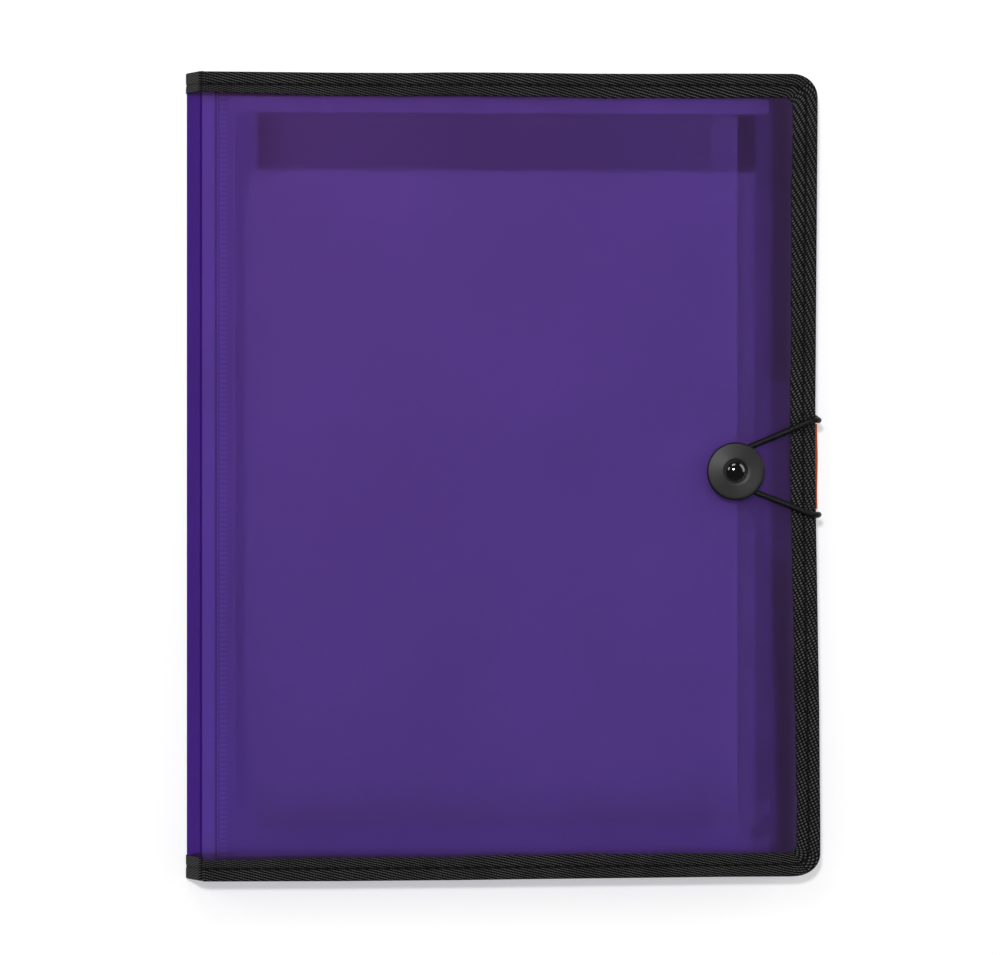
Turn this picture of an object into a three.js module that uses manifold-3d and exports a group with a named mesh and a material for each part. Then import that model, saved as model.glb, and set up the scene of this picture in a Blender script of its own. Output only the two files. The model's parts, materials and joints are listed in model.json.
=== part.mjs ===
// A padfolio lying closed on its back cover: a scored sheet of translucent polypropylene folded
// round a letter pad and five tabbed pocket dividers, its edges bound with sewn tape and its free
// edge shut by an elastic loop over a button.
// Millimetres. +X runs from the spine to the free edge, +Y to the top of the pad, +Z up through the
// front cover. Until the last lines X is counted from the back crease of the spine.

import * as THREE from "three";
import { mergeVertices } from "three/addons/utils/BufferGeometryUtils.js";
import Module from "manifold-3d";

const wasm = await Module();
wasm.setup();

// Cover sheet and its folds
const coverSheet = 0.8;
const spineLean = THREE.MathUtils.degToRad(21.2); // lean of the spine panel towards the free edge
const creaseGap = 0.3; // room left between two panels at a fold
const hingeScoreFromCrease = 6.4; // the double score that lets the front cover fold back
const scoreSpacing = 1.2;
const scoreWidth = 0.6;
const scoreDepth = 0.25;
const cornerSegments = 8;
const roundSides = 24;

// Binding tape, folded over the cover's edge and sewn through
const tapeThickness = 0.5;
const tapeClearance = 0.1; // between the tape and the sheet inside it
const bandSide = 10.5;
const bandBottom = 9.8;
const bandTop = 10.2;
const bandTopAtSpine = 8.4; // the tape narrows towards the spine
const coverCorner = 10; // outer radius of the bound corners
const bandInnerCorner = 3.5;
const tapeEdgeRounding = 0.35;
const seamFromEdge = 5.3;
const seamWidth = 0.8;
const seamDepth = 0.15;

// Letter pad, and the margins that the covers leave round it
const padWidth = 209.5;
const padHeight = 298.5;
const padFromSpineCrease = 29.95;
const padFromEdge = 17.75;
const padFromTop = 16.7;
const padFromBottom = 22.5;
const cardThickness = 0.8;
const paperThickness = 5.6;
const padTapeThickness = 0.25;
const padTapeBand = 23.8; // how far the tape reaches down the front of the pad
const padTapeBackBand = 14;
const padTapeClearance = 0.05;

// Pocket on the back cover that the pad's card slides into
const pocketSheet = 0.4;
const pocketHeight = 150;
const pocketSideClearance = 0.4;
const pocketWeldWidth = 1.2;

// Dividers: two pocket leaves welded to a strip that carries the index tab
const dividerCount = 5;
const dividerFromTop = 17.1;
const dividerFromBottom = 17.6;
const dividerFromEdge = 32.6; // from the leaves' free edge to the bound edge of the cover
const leafThickness = 0.3;
const leafClearance = 0.1; // the pocket between two leaves
const stripThickness = 0.3;
const stripClearance = 0.05;
const stripWidth = 10.6;
const stripShortening = 0.8; // the strip stops short of the leaf's ends
const dividerSpacing = 0.2; // between one divider and the next
const tabReach = 15.1;
const tabHeight = 50;
const tabsFromTop = 33.1; // from the top of the divider to its first tab
const tabsFromBottom = 35.4;
const tabCorner = 3;
const shoulderDip = 1.9; // how far below a tab its lower shoulder begins
const humpHeight = 3.9; // the lower shoulder humps up beside the strip
const humpReach = 7;
const shoulderDrop = 4.2; // how far below a tab's top its upper shoulder ends
const leafCorner = 2;
const coinRadius = 12.7;
const coinDivider = 2;
const coinFromEdge = 38; // from the divider's free edge
const coinFromMiddle = 4.5;

// Flange that hangs the dividers inside the front cover
const flangeFromCrease = 7.1; // edge of the flange next to the double score
const flangeWidth = 6.8;
const flangeThickness = 0.3;
const flangeLeg = 0.6;
const dividerHingeClearance = 0.4;
const weldFromCrease = 9.2; // the flange's weld, a ladder of bars pressed into the cover
const weldWidth = 3.1;
const weldPitch = 2;
const weldBar = 1;
const weldDepth = 0.12;

// Flaps welded inside the front cover
const linerThickness = 0.3;
const linerClearance = 0.1;
const topFlapFromCrease = 11.5;
const flapFromEdge = 19.5; // free ends of both flaps
const topFlapClearance = 0.2; // between the top flap and the dividers below it
const topFlapCorner = 2.5;
const bottomFlapHeight = 14.7; // above its fold, which lies along the dividers' lower edge
const reliefDepth = 8; // corner relief beside the fold of the bottom flap
const reliefHeight = 9.2;
const reliefFlat = 3.3;
const patchWidth = 10.7;
const patchHeight = 75;
const patchFromMiddle = 2.6;

// Closure
const closureFromMiddle = 1.9; // height of the button above the middle of the case
const buttonFromEdge = 33.9;
const buttonRadius = 12.15;
const buttonThickness = 2.4;
const buttonRim = 1.1; // width of the bevel round the button
const buttonDish = 0.35;
const buttonRecess = 0.8; // seat of the rivet's head
const buttonSides = 48;
const spacerRadius = 3.3;
const rivetHeadRadius = 4.25;
const rivetHeadHeight = 1.9;
const rivetHeadEdge = 0.35; // upright edge below the dome
const rivetShankRadius = 1.8;
const rivetClearance = 0.2;
const washerRadius = 5.5;
const washerThickness = 0.4;
const contactGap = 0.05; // between rigid pieces that touch
const layerGap = 0.3; // between loose layers
const cordDiameter = 2.5;
const cordClearance = 0.3;
const cordJointGap = 0.5; // between the cord's straight strands and its loop
const strandAbove = 21.5; // from the button up to where the upper strand crosses the edge
const strandBelow = 18.2;
const anchorAbove = 27.5; // from the button up to the cord's upper sewn end
const anchorBelow = 20.7;
const cordEndWidth = 3.4;
const cordEndThickness = 0.8;
const cordEndDepth = 5;
const cordEndOut = 0.6;
const cordPivotOut = 1.9;
const cordWrapFrom = THREE.MathUtils.degToRad(111); // the loop lies round the spacer from here
const cordSlack = 1.1; // the loop is loose and rests on the lower side of the spacer
const cordWrapSteps = 8;
const tagHeight = 36;
const tagFromMiddle = 4.1;
const tagReach = 10; // beyond the back cover's bound edge
const tagThickness = 0.4;
const tagRise = 1.6; // height of the fold of the tag
const tagFlare = 2; // length over which its two ends open out

// Heights, from the table up
const boundThickness = coverSheet + 2 * (tapeClearance + tapeThickness);
const backPlane = boundThickness / 2;
const cardBottom = boundThickness + layerGap + padTapeThickness + padTapeClearance;
const pocketBottom = cardBottom + cardThickness + layerGap;
const paperBottom = pocketBottom + pocketSheet + layerGap;
const paperTop = paperBottom + paperThickness;
const padTop = paperTop + padTapeClearance + padTapeThickness;
const dividerBottom = padTop + layerGap;
const dividerThickness = 2 * leafThickness + leafClearance + stripClearance + stripThickness;
const dividerPitch = dividerThickness + dividerSpacing;
const dividersTop = dividerBottom + dividerCount * dividerPitch - dividerSpacing;
const linerBottom = dividersTop + layerGap + linerClearance;
const frontSheetBottom = linerBottom + linerThickness + linerClearance;
const frontPlane = frontSheetBottom + coverSheet / 2;
const frontSheetTop = frontSheetBottom + coverSheet;
const frontBindingTop = frontPlane + boundThickness / 2;

// Size of the covers, round the pad
const caseHeight = padFromTop + padHeight + padFromBottom;
const coverWidth = padFromSpineCrease + padWidth + padFromEdge; // from a crease to the bound edge

// Creases of the spine, in plan and height
const spineRise = frontPlane - backPlane;
const spineWidth = spineRise / Math.cos(spineLean);
const backCrease = new THREE.Vector2(0, backPlane);
const frontCrease = new THREE.Vector2(spineRise * Math.tan(spineLean), frontPlane);
const backFoldAngle = Math.PI / 2 - spineLean; // inside angle between back cover and spine
const frontFoldAngle = Math.PI / 2 + spineLean;
const top = caseHeight / 2;
const bottom = -caseHeight / 2;
const frontEdge = frontCrease.x + coverWidth;
const backEdge = backCrease.x + coverWidth;

/** Height in the case of a point given by its distance from the top edge. */
function down(distance) {
  return top - distance;
}

/** How far a panel stops short of a fold, so that its inner corner clears its neighbour's. */
function setback(halfThickness, insideAngle) {
  const half = insideAngle / 2;
  return (halfThickness * Math.cos(half) + creaseGap / 2) / Math.sin(half);
}

/** Solid of an extruded outline lying flat, from height z upwards. */
function plate(outline, z, thickness, curveSegments = 6) {
  const options = { depth: thickness, bevelEnabled: false, curveSegments };
  return new THREE.ExtrudeGeometry(outline, options).translate(0, 0, z);
}

/** Rectangle with its own radius at each corner. */
function rectangle(left, right, low, high, corners = {}) {
  const { topRight = 0, topLeft = 0, bottomLeft = 0, bottomRight = 0 } = corners;
  const shape = new THREE.Shape();
  shape.moveTo(left + bottomLeft, low);
  shape.lineTo(right - bottomRight, low);
  if (bottomRight) shape.absarc(right - bottomRight, low + bottomRight, bottomRight, -Math.PI / 2, 0);
  shape.lineTo(right, high - topRight);
  if (topRight) shape.absarc(right - topRight, high - topRight, topRight, 0, Math.PI / 2);
  shape.lineTo(left + topLeft, high);
  if (topLeft) shape.absarc(left + topLeft, high - topLeft, topLeft, Math.PI / 2, Math.PI);
  shape.lineTo(left, low + bottomLeft);
  if (bottomLeft) shape.absarc(left + bottomLeft, low + bottomLeft, bottomLeft, Math.PI, 1.5 * Math.PI);
  return shape;
}

/** Box between two corners. */
function block(left, right, low, high, z, thickness) {
  return plate(rectangle(left, right, low, high), z, thickness);
}

function solidOf(geometry) {
  const bare = geometry.clone();
  bare.deleteAttribute("normal");
  bare.deleteAttribute("uv");
  const merged = mergeVertices(bare, 1e-4);
  const vertProperties = new Float32Array(merged.attributes.position.array);
  const triVerts = new Uint32Array(merged.index.array);
  return new wasm.Manifold(new wasm.Mesh({ numProp: 3, vertProperties, triVerts }));
}

function geometryOf(solid) {
  const mesh = solid.getMesh();
  const geometry = new THREE.BufferGeometry();
  geometry.setAttribute("position", new THREE.BufferAttribute(mesh.vertProperties, 3));
  geometry.setIndex(new THREE.BufferAttribute(mesh.triVerts, 1));
  return geometry;
}

/** The first geometry with all the others cut out of it. */
function cut(geometry, ...tools) {
  const solid = tools.reduce((left, tool) => left.subtract(solidOf(tool)), solidOf(geometry));
  return geometryOf(solid);
}

/** All the geometries joined in one solid. */
function join(...geometries) {
  const solids = geometries.map(solidOf);
  return geometryOf(solids.reduce((whole, next) => whole.add(next)));
}

const finishes = {
  cover: { color: 0x5f3f96, roughness: 0.45, metalness: 0 },
  divider: { color: 0xb9a6d6, roughness: 0.35, metalness: 0 },
  tab: { color: 0x7b57a8, roughness: 0.4, metalness: 0 },
  tape: { color: 0x232324, roughness: 0.85, metalness: 0 },
  elastic: { color: 0x1b1b1c, roughness: 0.7, metalness: 0 },
  button: { color: 0x2c2c2d, roughness: 0.5, metalness: 0 },
  rivet: { color: 0x0b0b0c, roughness: 0.15, metalness: 0.2 },
  tag: { color: 0xeb734b, roughness: 0.8, metalness: 0 },
  paper: { color: 0xf1eff4, roughness: 0.9, metalness: 0 },
  card: { color: 0x9b8f7c, roughness: 0.9, metalness: 0 },
  padTape: { color: 0x33243f, roughness: 0.6, metalness: 0 },
  coin: { color: 0xe8e4ee, roughness: 0.8, metalness: 0 },
};

const padfolio = new THREE.Group();

/** Adds a named piece to the padfolio or to a group inside it. */
function add(name, geometry, finish, parent = padfolio) {
  const mesh = new THREE.Mesh(geometry, new THREE.MeshStandardMaterial(finishes[finish]));
  mesh.name = name;
  parent.add(mesh);
  return mesh;
}

/** Plan of the tape on one cover: a band round three sides, open at the spine. */
function bandOutline(left, right) {
  const shape = new THREE.Shape();
  const innerRight = right - bandSide;
  const lowInner = bottom + bandBottom;
  const highInner = top - bandTop;
  const innerX = innerRight - bandInnerCorner;
  shape.moveTo(left, bottom);
  shape.lineTo(right - coverCorner, bottom);
  shape.absarc(right - coverCorner, bottom + coverCorner, coverCorner, -Math.PI / 2, 0);
  shape.lineTo(right, top - coverCorner);
  shape.absarc(right - coverCorner, top - coverCorner, coverCorner, 0, Math.PI / 2);
  shape.lineTo(left, top);
  shape.lineTo(left, top - bandTopAtSpine);
  shape.lineTo((left + innerRight) / 2, highInner);
  shape.lineTo(innerX, highInner);
  shape.absarc(innerX, highInner - bandInnerCorner, bandInnerCorner, Math.PI / 2, 0, true);
  shape.lineTo(innerRight, lowInner + bandInnerCorner);
  shape.absarc(innerX, lowInner + bandInnerCorner, bandInnerCorner, 0, -Math.PI / 2, true);
  shape.lineTo(left, lowInner);
  return shape;
}

/** Plan of the seam's groove: a narrow band that runs round at a steady distance from the edge. */
function seamOutline(left, right) {
  const shape = new THREE.Shape();
  const outer = seamFromEdge - seamWidth / 2;
  const inner = seamFromEdge + seamWidth / 2;
  const centreX = right - coverCorner;
  const overrun = left - coverCorner; // the groove runs out through the tape's end
  shape.moveTo(overrun, bottom + outer);
  shape.lineTo(centreX, bottom + outer);
  shape.absarc(centreX, bottom + coverCorner, coverCorner - outer, -Math.PI / 2, 0);
  shape.absarc(centreX, top - coverCorner, coverCorner - outer, 0, Math.PI / 2);
  shape.lineTo(overrun, top - outer);
  shape.lineTo(overrun, top - inner);
  shape.lineTo(centreX, top - inner);
  shape.absarc(centreX, top - coverCorner, coverCorner - inner, Math.PI / 2, 0, true);
  shape.absarc(centreX, bottom + coverCorner, coverCorner - inner, 0, -Math.PI / 2, true);
  shape.lineTo(overrun, bottom + inner);
  return shape;
}

/** Outline of the sheet inside the binding, or of its slot, by its inset from the bound edge. */
function sheetOutline(left, right, inset) {
  const radius = coverCorner - inset;
  const corners = { topRight: radius, bottomRight: radius };
  return rectangle(left, right - inset, bottom + inset, top - inset, corners);
}

/** Plate with rounded edges, from height z upwards. */
function cushionedPlate(outline, z, thickness, rounding) {
  const options = {
    depth: thickness - 2 * rounding,
    bevelThickness: rounding,
    bevelSize: rounding,
    bevelOffset: -rounding,
    bevelSegments: 2,
    curveSegments: cornerSegments,
  };
  return new THREE.ExtrudeGeometry(outline, options).translate(0, 0, z + rounding);
}

/** Tape folded round three sides of a cover whose middle plane is at height plane. */
function coverBinding(crease, foldAngle, plane, ...openings) {
  const left = crease + setback(boundThickness / 2, foldAngle);
  const right = crease + coverWidth;
  const low = plane - boundThickness / 2;
  const band = cushionedPlate(bandOutline(left, right), low, boundThickness, tapeEdgeRounding);
  const slotOutline = sheetOutline(left - coverCorner, right, tapeThickness);
  const slot = plate(slotOutline, low + tapeThickness, boundThickness - 2 * tapeThickness, cornerSegments);
  const seam = seamOutline(left, right);
  const seamAbove = plate(seam, low + boundThickness - seamDepth, 2 * seamDepth, cornerSegments);
  const seamBelow = plate(seam, low - seamDepth, 2 * seamDepth, cornerSegments);
  return cut(band, slot, seamAbove, seamBelow, ...openings);
}

/** V-shaped score along the height of a cover, cut from its outer face. */
function scoreGroove(x, surface) {
  const section = new THREE.Shape();
  section.moveTo(x - scoreWidth, surface + scoreDepth);
  section.lineTo(x, surface - scoreDepth);
  section.lineTo(x + scoreWidth, surface + scoreDepth);
  const groove = new THREE.ExtrudeGeometry(section, { depth: caseHeight, bevelEnabled: false });
  return groove.rotateX(Math.PI / 2).translate(0, top, 0);
}

/** Upright cylinder from height low to height high. */
function pin(x, y, radius, low, high, sides = roundSides) {
  const cylinder = new THREE.CylinderGeometry(radius, radius, high - low, sides);
  return cylinder.rotateX(Math.PI / 2).translate(x, y, (low + high) / 2);
}

/** Solid turned about an upright axis from a list of (radius, height) points. */
function turned(points, x, y, sides = roundSides) {
  const profile = points.map(([radius, height]) => new THREE.Vector2(radius, height));
  return new THREE.LatheGeometry(profile, sides).rotateX(Math.PI / 2).translate(x, y, 0);
}

// Back cover
const sheetInset = tapeThickness + tapeClearance;
const closureY = closureFromMiddle;
const anchors = { upper: closureY + anchorAbove, lower: closureY - anchorBelow };
const strands = { upper: closureY + strandAbove, lower: closureY - strandBelow };

/** Room for something flat that is sewn into the back binding's edge. */
function edgeSlot(y, width, depth) {
  const half = width / 2 + layerGap;
  const slotHeight = coverSheet + 2 * tapeClearance;
  return block(backEdge - depth, backEdge + 1, y - half, y + half, backPlane - slotHeight / 2, slotHeight);
}

function edgeSlots() {
  const cordDepth = cordEndDepth + layerGap;
  return [
    edgeSlot(anchors.upper, cordEndWidth, cordDepth),
    edgeSlot(anchors.lower, cordEndWidth, cordDepth),
    edgeSlot(tagFromMiddle, tagHeight, cordDepth),
  ];
}

function backCoverSheet() {
  const left = backCrease.x + setback(coverSheet / 2, backFoldAngle);
  const outline = sheetOutline(left, backEdge, sheetInset);
  const sheet = plate(outline, backPlane - coverSheet / 2, coverSheet, cornerSegments);
  return cut(sheet, ...edgeSlots());
}

/** Flat sewn end of the cord, held between the layers of the back binding. */
function cordEnd(y) {
  const round = cordEndWidth / 2;
  const corners = { topRight: round, bottomRight: round };
  const left = backEdge - cordEndDepth;
  const outline = rectangle(left, backEdge + cordEndOut, y - round, y + round, corners);
  return plate(outline, backPlane - cordEndThickness / 2, cordEndThickness);
}

/** Ribbon tag folded double, its two ends sewn together into the back binding. */
function edgeTag() {
  const section = new THREE.Shape();
  const x = backEdge + tapeThickness;
  const reach = backEdge + tagReach;
  const half = cordEndThickness / 2;
  const radius = tagRise / 2;
  const axis = reach - radius;
  const inner = radius - tagThickness;
  section.moveTo(backEdge - cordEndDepth, backPlane - half);
  section.lineTo(x, backPlane - half);
  section.quadraticCurveTo(x + tagFlare / 2, backPlane - radius, x + tagFlare, backPlane - radius);
  section.lineTo(axis, backPlane - radius);
  section.absarc(axis, backPlane, radius, -Math.PI / 2, Math.PI / 2);
  section.lineTo(x + tagFlare, backPlane + radius);
  section.quadraticCurveTo(x + tagFlare / 2, backPlane + radius, x, backPlane + half);
  section.lineTo(backEdge - cordEndDepth, backPlane + half);
  const hollow = new THREE.Path();
  hollow.moveTo(x + tagFlare + tagThickness, backPlane);
  hollow.lineTo(x + 1.5 * tagFlare, backPlane + inner);
  hollow.lineTo(axis, backPlane + inner);
  hollow.absarc(axis, backPlane, inner, Math.PI / 2, -Math.PI / 2, true);
  hollow.lineTo(x + 1.5 * tagFlare, backPlane - inner);
  section.holes.push(hollow);
  const ribbon = new THREE.ExtrudeGeometry(section, {
    depth: tagHeight,
    bevelEnabled: false,
    curveSegments: 5,
  });
  return ribbon.rotateX(Math.PI / 2).translate(0, tagFromMiddle + tagHeight / 2, 0);
}

const padLeft = backCrease.x + padFromSpineCrease;
const padRight = padLeft + padWidth;
const padHigh = down(padFromTop);
const padLow = padHigh - padHeight;
const pocketLeft = padLeft - pocketSideClearance - pocketWeldWidth;
const pocketRight = padRight + pocketSideClearance + pocketWeldWidth;
const pocketLow = padLow - pocketSideClearance - pocketWeldWidth;
const pocketHigh = pocketLow + pocketHeight;

add("back_cover_sheet", backCoverSheet(), "cover");
add("back_binding", coverBinding(backCrease.x, backFoldAngle, backPlane, ...edgeSlots()), "tape");
add("elastic_upper_end", cordEnd(anchors.upper), "elastic");
add("elastic_lower_end", cordEnd(anchors.lower), "elastic");
add("edge_tag", edgeTag(), "tag");

// Pocket: a clear panel on three upright welds
function pocketPanel() {
  const outline = rectangle(pocketLeft, pocketRight, pocketLow, pocketHigh, {
    topLeft: leafCorner,
    topRight: leafCorner,
  });
  return plate(outline, pocketBottom, pocketSheet);
}

function pocketWeld(left, right, low, high) {
  const base = backPlane + coverSheet / 2 + contactGap;
  return block(left, right, low, high, base, pocketBottom - contactGap - base);
}

const weldTop = pocketHigh - leafCorner;
add("pad_pocket_panel", pocketPanel(), "divider");
add(
  "pocket_weld_left",
  pocketWeld(pocketLeft, pocketLeft + pocketWeldWidth, pocketLow + pocketWeldWidth + contactGap, weldTop),
  "divider",
);
add(
  "pocket_weld_right",
  pocketWeld(pocketRight - pocketWeldWidth, pocketRight, pocketLow + pocketWeldWidth + contactGap, weldTop),
  "divider",
);
add(
  "pocket_weld_bottom",
  pocketWeld(pocketLeft, pocketRight, pocketLow, pocketLow + pocketWeldWidth),
  "divider",
);

// Pad: a stack of sheets on card, held along the top by a folded tape
function padTapeFold() {
  const gap = padTapeClearance;
  const section = new THREE.Shape();
  const outerY = padHigh + gap + padTapeThickness;
  const low = cardBottom - gap - padTapeThickness;
  section.moveTo(padHigh - padTapeBackBand, low);
  section.lineTo(outerY, low);
  section.lineTo(outerY, padTop);
  section.lineTo(padHigh - padTapeBand, padTop);
  section.lineTo(padHigh - padTapeBand, paperTop + gap);
  section.lineTo(padHigh + gap, paperTop + gap);
  section.lineTo(padHigh + gap, cardBottom - gap);
  section.lineTo(padHigh - padTapeBackBand, cardBottom - gap);
  const fold = new THREE.ExtrudeGeometry(section, { depth: padWidth, bevelEnabled: false });
  const turn = new THREE.Matrix4().set(0, 0, 1, padLeft, 1, 0, 0, 0, 0, 1, 0, 0, 0, 0, 0, 1);
  return fold.applyMatrix4(turn);
}

add("pad_cardboard", block(padLeft, padRight, padLow, padHigh, cardBottom, cardThickness), "card");
add("pad_sheets", block(padLeft, padRight, padLow, padHigh, paperBottom, paperThickness), "paper");
add("pad_top_tape", padTapeFold(), "padTape");

// Spine panel, built flat in a group that is turned up about the back crease
const spine = new THREE.Group();
spine.position.set(backCrease.x, 0, backCrease.y);
spine.rotation.y = -backFoldAngle;
padfolio.add(spine);

function spineSheet() {
  const half = coverSheet / 2;
  const left = setback(half, backFoldAngle);
  const right = spineWidth - setback(half, frontFoldAngle);
  return block(left, right, bottom + sheetInset, top - sheetInset, -half, coverSheet);
}

/** Tape over one end of the spine panel, where side is 1 at the top and -1 at the bottom. */
function spineBinding(side, width) {
  const half = boundThickness / 2;
  const left = setback(half, backFoldAngle);
  const right = spineWidth - setback(half, frontFoldAngle);
  const low = Math.min(side * top, side * (top - width));
  const outline = rectangle(left, right, low, low + width);
  const band = cushionedPlate(outline, -half, boundThickness, tapeEdgeRounding);
  const slotHalf = half - tapeThickness;
  const slotEnd = side * (top - tapeThickness);
  const slotLow = Math.min(slotEnd, 0);
  const slotHigh = Math.max(slotEnd, 0);
  const slot = block(-1, spineWidth + 1, slotLow, slotHigh, -slotHalf, 2 * slotHalf);
  const seamLow = side * (top - seamFromEdge) - seamWidth / 2;
  const seam = (z) => block(-1, spineWidth + 1, seamLow, seamLow + seamWidth, z, 2 * seamDepth);
  return cut(band, slot, seam(half - seamDepth), seam(-half - seamDepth));
}

add("spine_sheet", spineSheet(), "cover", spine);
add("spine_binding_top", spineBinding(1, bandTopAtSpine), "tape", spine);
add("spine_binding_bottom", spineBinding(-1, bandBottom), "tape", spine);

// Front cover
const buttonX = frontEdge - buttonFromEdge;
const scoreX = frontCrease.x + hingeScoreFromCrease;
const flangeRight = frontCrease.x + flangeFromCrease + flangeWidth;
const dividerHigh = down(dividerFromTop);
const dividerLow = bottom + dividerFromBottom;

/** Bars of the weld that holds the flange, pressed into the cover's outer face. */
function weldBars() {
  const left = frontCrease.x + weldFromCrease - weldWidth / 2;
  const low = bottom + bandBottom + layerGap;
  const room = top - bandTop - layerGap - low;
  return Array.from({ length: Math.floor(room / weldPitch) }, (_, i) => {
    const y = low + i * weldPitch;
    return block(left, left + weldWidth, y, y + weldBar, frontSheetTop - weldDepth, 2 * weldDepth);
  });
}

function frontCoverSheet() {
  const left = frontCrease.x + setback(coverSheet / 2, frontFoldAngle);
  const outline = sheetOutline(left, frontEdge, sheetInset);
  const sheet = plate(outline, frontSheetBottom, coverSheet, cornerSegments);
  const holeRadius = rivetShankRadius + rivetClearance;
  const hole = pin(buttonX, closureY, holeRadius, frontSheetBottom - 1, frontSheetTop + 1);
  const scores = [-0.5, 0.5].map((side) => scoreGroove(scoreX + side * scoreSpacing, frontSheetTop));
  return cut(sheet, hole, ...scores, ...weldBars());
}

/** Strip welded under the front cover along the top binding. */
function topFlap() {
  const left = frontCrease.x + topFlapFromCrease;
  const right = frontEdge - flapFromEdge;
  const low = dividerHigh + topFlapClearance;
  const outline = rectangle(left, right, low, top - bandTop - layerGap, { bottomRight: topFlapCorner });
  return plate(outline, linerBottom, linerThickness);
}

/** Flap folded up from the bottom binding, its free corner relieved beside the fold. */
function bottomFlap() {
  const left = flangeRight + layerGap;
  const right = frontEdge - flapFromEdge;
  const fold = dividerLow;
  const outline = new THREE.Shape();
  outline.moveTo(left, bottom + bandBottom + layerGap);
  outline.lineTo(right, bottom + bandBottom + layerGap);
  outline.lineTo(right, fold);
  outline.lineTo(right - reliefDepth, fold);
  outline.lineTo(right - reliefDepth, fold + reliefFlat);
  outline.lineTo(right, fold + reliefHeight);
  outline.lineTo(right, fold + bottomFlapHeight);
  outline.lineTo(left, fold + bottomFlapHeight);
  return plate(outline, linerBottom, linerThickness);
}

function closurePatch() {
  const half = patchHeight / 2;
  const right = frontEdge - bandSide - layerGap;
  const low = patchFromMiddle - half;
  return block(right - patchWidth, right, low, low + patchHeight, linerBottom, linerThickness);
}

/** Flange welded under the front cover, with the leg that the dividers hang from. */
function dividerFlange() {
  const left = flangeRight - flangeWidth;
  const flat = block(left, flangeRight, dividerLow, dividerHigh, linerBottom, flangeThickness);
  const legHeight = linerBottom + flangeThickness - dividerBottom;
  const legLeft = flangeRight - flangeLeg;
  const leg = block(legLeft, flangeRight, dividerLow, dividerHigh, dividerBottom, legHeight);
  return join(flat, leg);
}

add("front_cover_sheet", frontCoverSheet(), "cover");
add("front_binding", coverBinding(frontCrease.x, frontFoldAngle, frontPlane), "tape");
add("front_top_flap", topFlap(), "divider");
add("front_bottom_flap", bottomFlap(), "divider");
add("closure_patch", closurePatch(), "divider");
add("divider_flange", dividerFlange(), "divider");

// Button on a riveted spacer
const spacerLow = frontSheetTop + contactGap;
const spacerHigh = spacerLow + cordDiameter + 2 * cordClearance;
const buttonLow = spacerHigh + contactGap;
const buttonHigh = buttonLow + buttonThickness;

function closureButton() {
  const bore = rivetShankRadius + rivetClearance;
  const seat = rivetHeadRadius + rivetClearance;
  const rim = buttonRadius - buttonRim;
  const rounded = buttonRim * (1 - Math.SQRT1_2);
  return turned(
    [
      [bore, buttonLow],
      [buttonRadius - buttonRim / 2, buttonLow],
      [buttonRadius, buttonLow + buttonRim / 2],
      [buttonRadius, buttonHigh - buttonRim],
      [buttonRadius - rounded, buttonHigh - rounded],
      [rim, buttonHigh],
      [rim - buttonRim, buttonHigh - buttonDish / 4],
      [(rim + seat) / 2, buttonHigh - buttonDish],
      [seat, buttonHigh - buttonDish],
      [seat, buttonHigh - buttonRecess],
      [bore, buttonHigh - buttonRecess],
      [bore, buttonLow],
    ],
    buttonX,
    closureY,
    buttonSides,
  );
}

/** Rivet with a domed head in the button's seat and a shank down to the washer. */
function buttonRivet() {
  const seat = buttonHigh - buttonRecess + contactGap;
  const foot = frontSheetBottom - contactGap - washerThickness;
  const profile = [
    [0, foot],
    [rivetShankRadius, foot],
    [rivetShankRadius, seat],
    [rivetHeadRadius, seat],
  ];
  const steps = 6;
  for (let i = 0; i < steps; i += 1) {
    const angle = (i / steps) * (Math.PI / 2);
    const height = rivetHeadEdge + (rivetHeadHeight - rivetHeadEdge) * Math.sin(angle);
    profile.push([rivetHeadRadius * Math.cos(angle), seat + height]);
  }
  profile.push([0, seat + rivetHeadHeight]);
  return turned(profile, buttonX, closureY);
}

/** Ring between two radii and two heights, round the rivet. */
function ring(inner, outer, low, high) {
  const section = [[inner, low], [outer, low], [outer, high], [inner, high], [inner, low]];
  return turned(section, buttonX, closureY);
}

const boreRadius = rivetShankRadius + rivetClearance;
const washerHigh = frontSheetBottom - contactGap;
add("closure_button", closureButton(), "button");
add("button_rivet", buttonRivet(), "rivet");
add("button_spacer", ring(boreRadius, spacerRadius, spacerLow, spacerHigh), "button");
add("button_washer", ring(boreRadius, washerRadius, washerHigh - washerThickness, washerHigh), "rivet");

// Dividers, the first one next to the front cover
const dividerLeft = flangeRight + dividerHingeClearance;
const dividerEdge = frontEdge - dividerFromEdge;
const tabRoom = dividerHigh - dividerLow - tabsFromTop - tabsFromBottom;
const tabStep = (tabRoom - tabHeight) / (dividerCount - 1);

function leafOutline() {
  const corners = { topRight: leafCorner, bottomRight: leafCorner };
  return rectangle(dividerLeft, dividerEdge, dividerLow, dividerHigh, corners);
}

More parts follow.
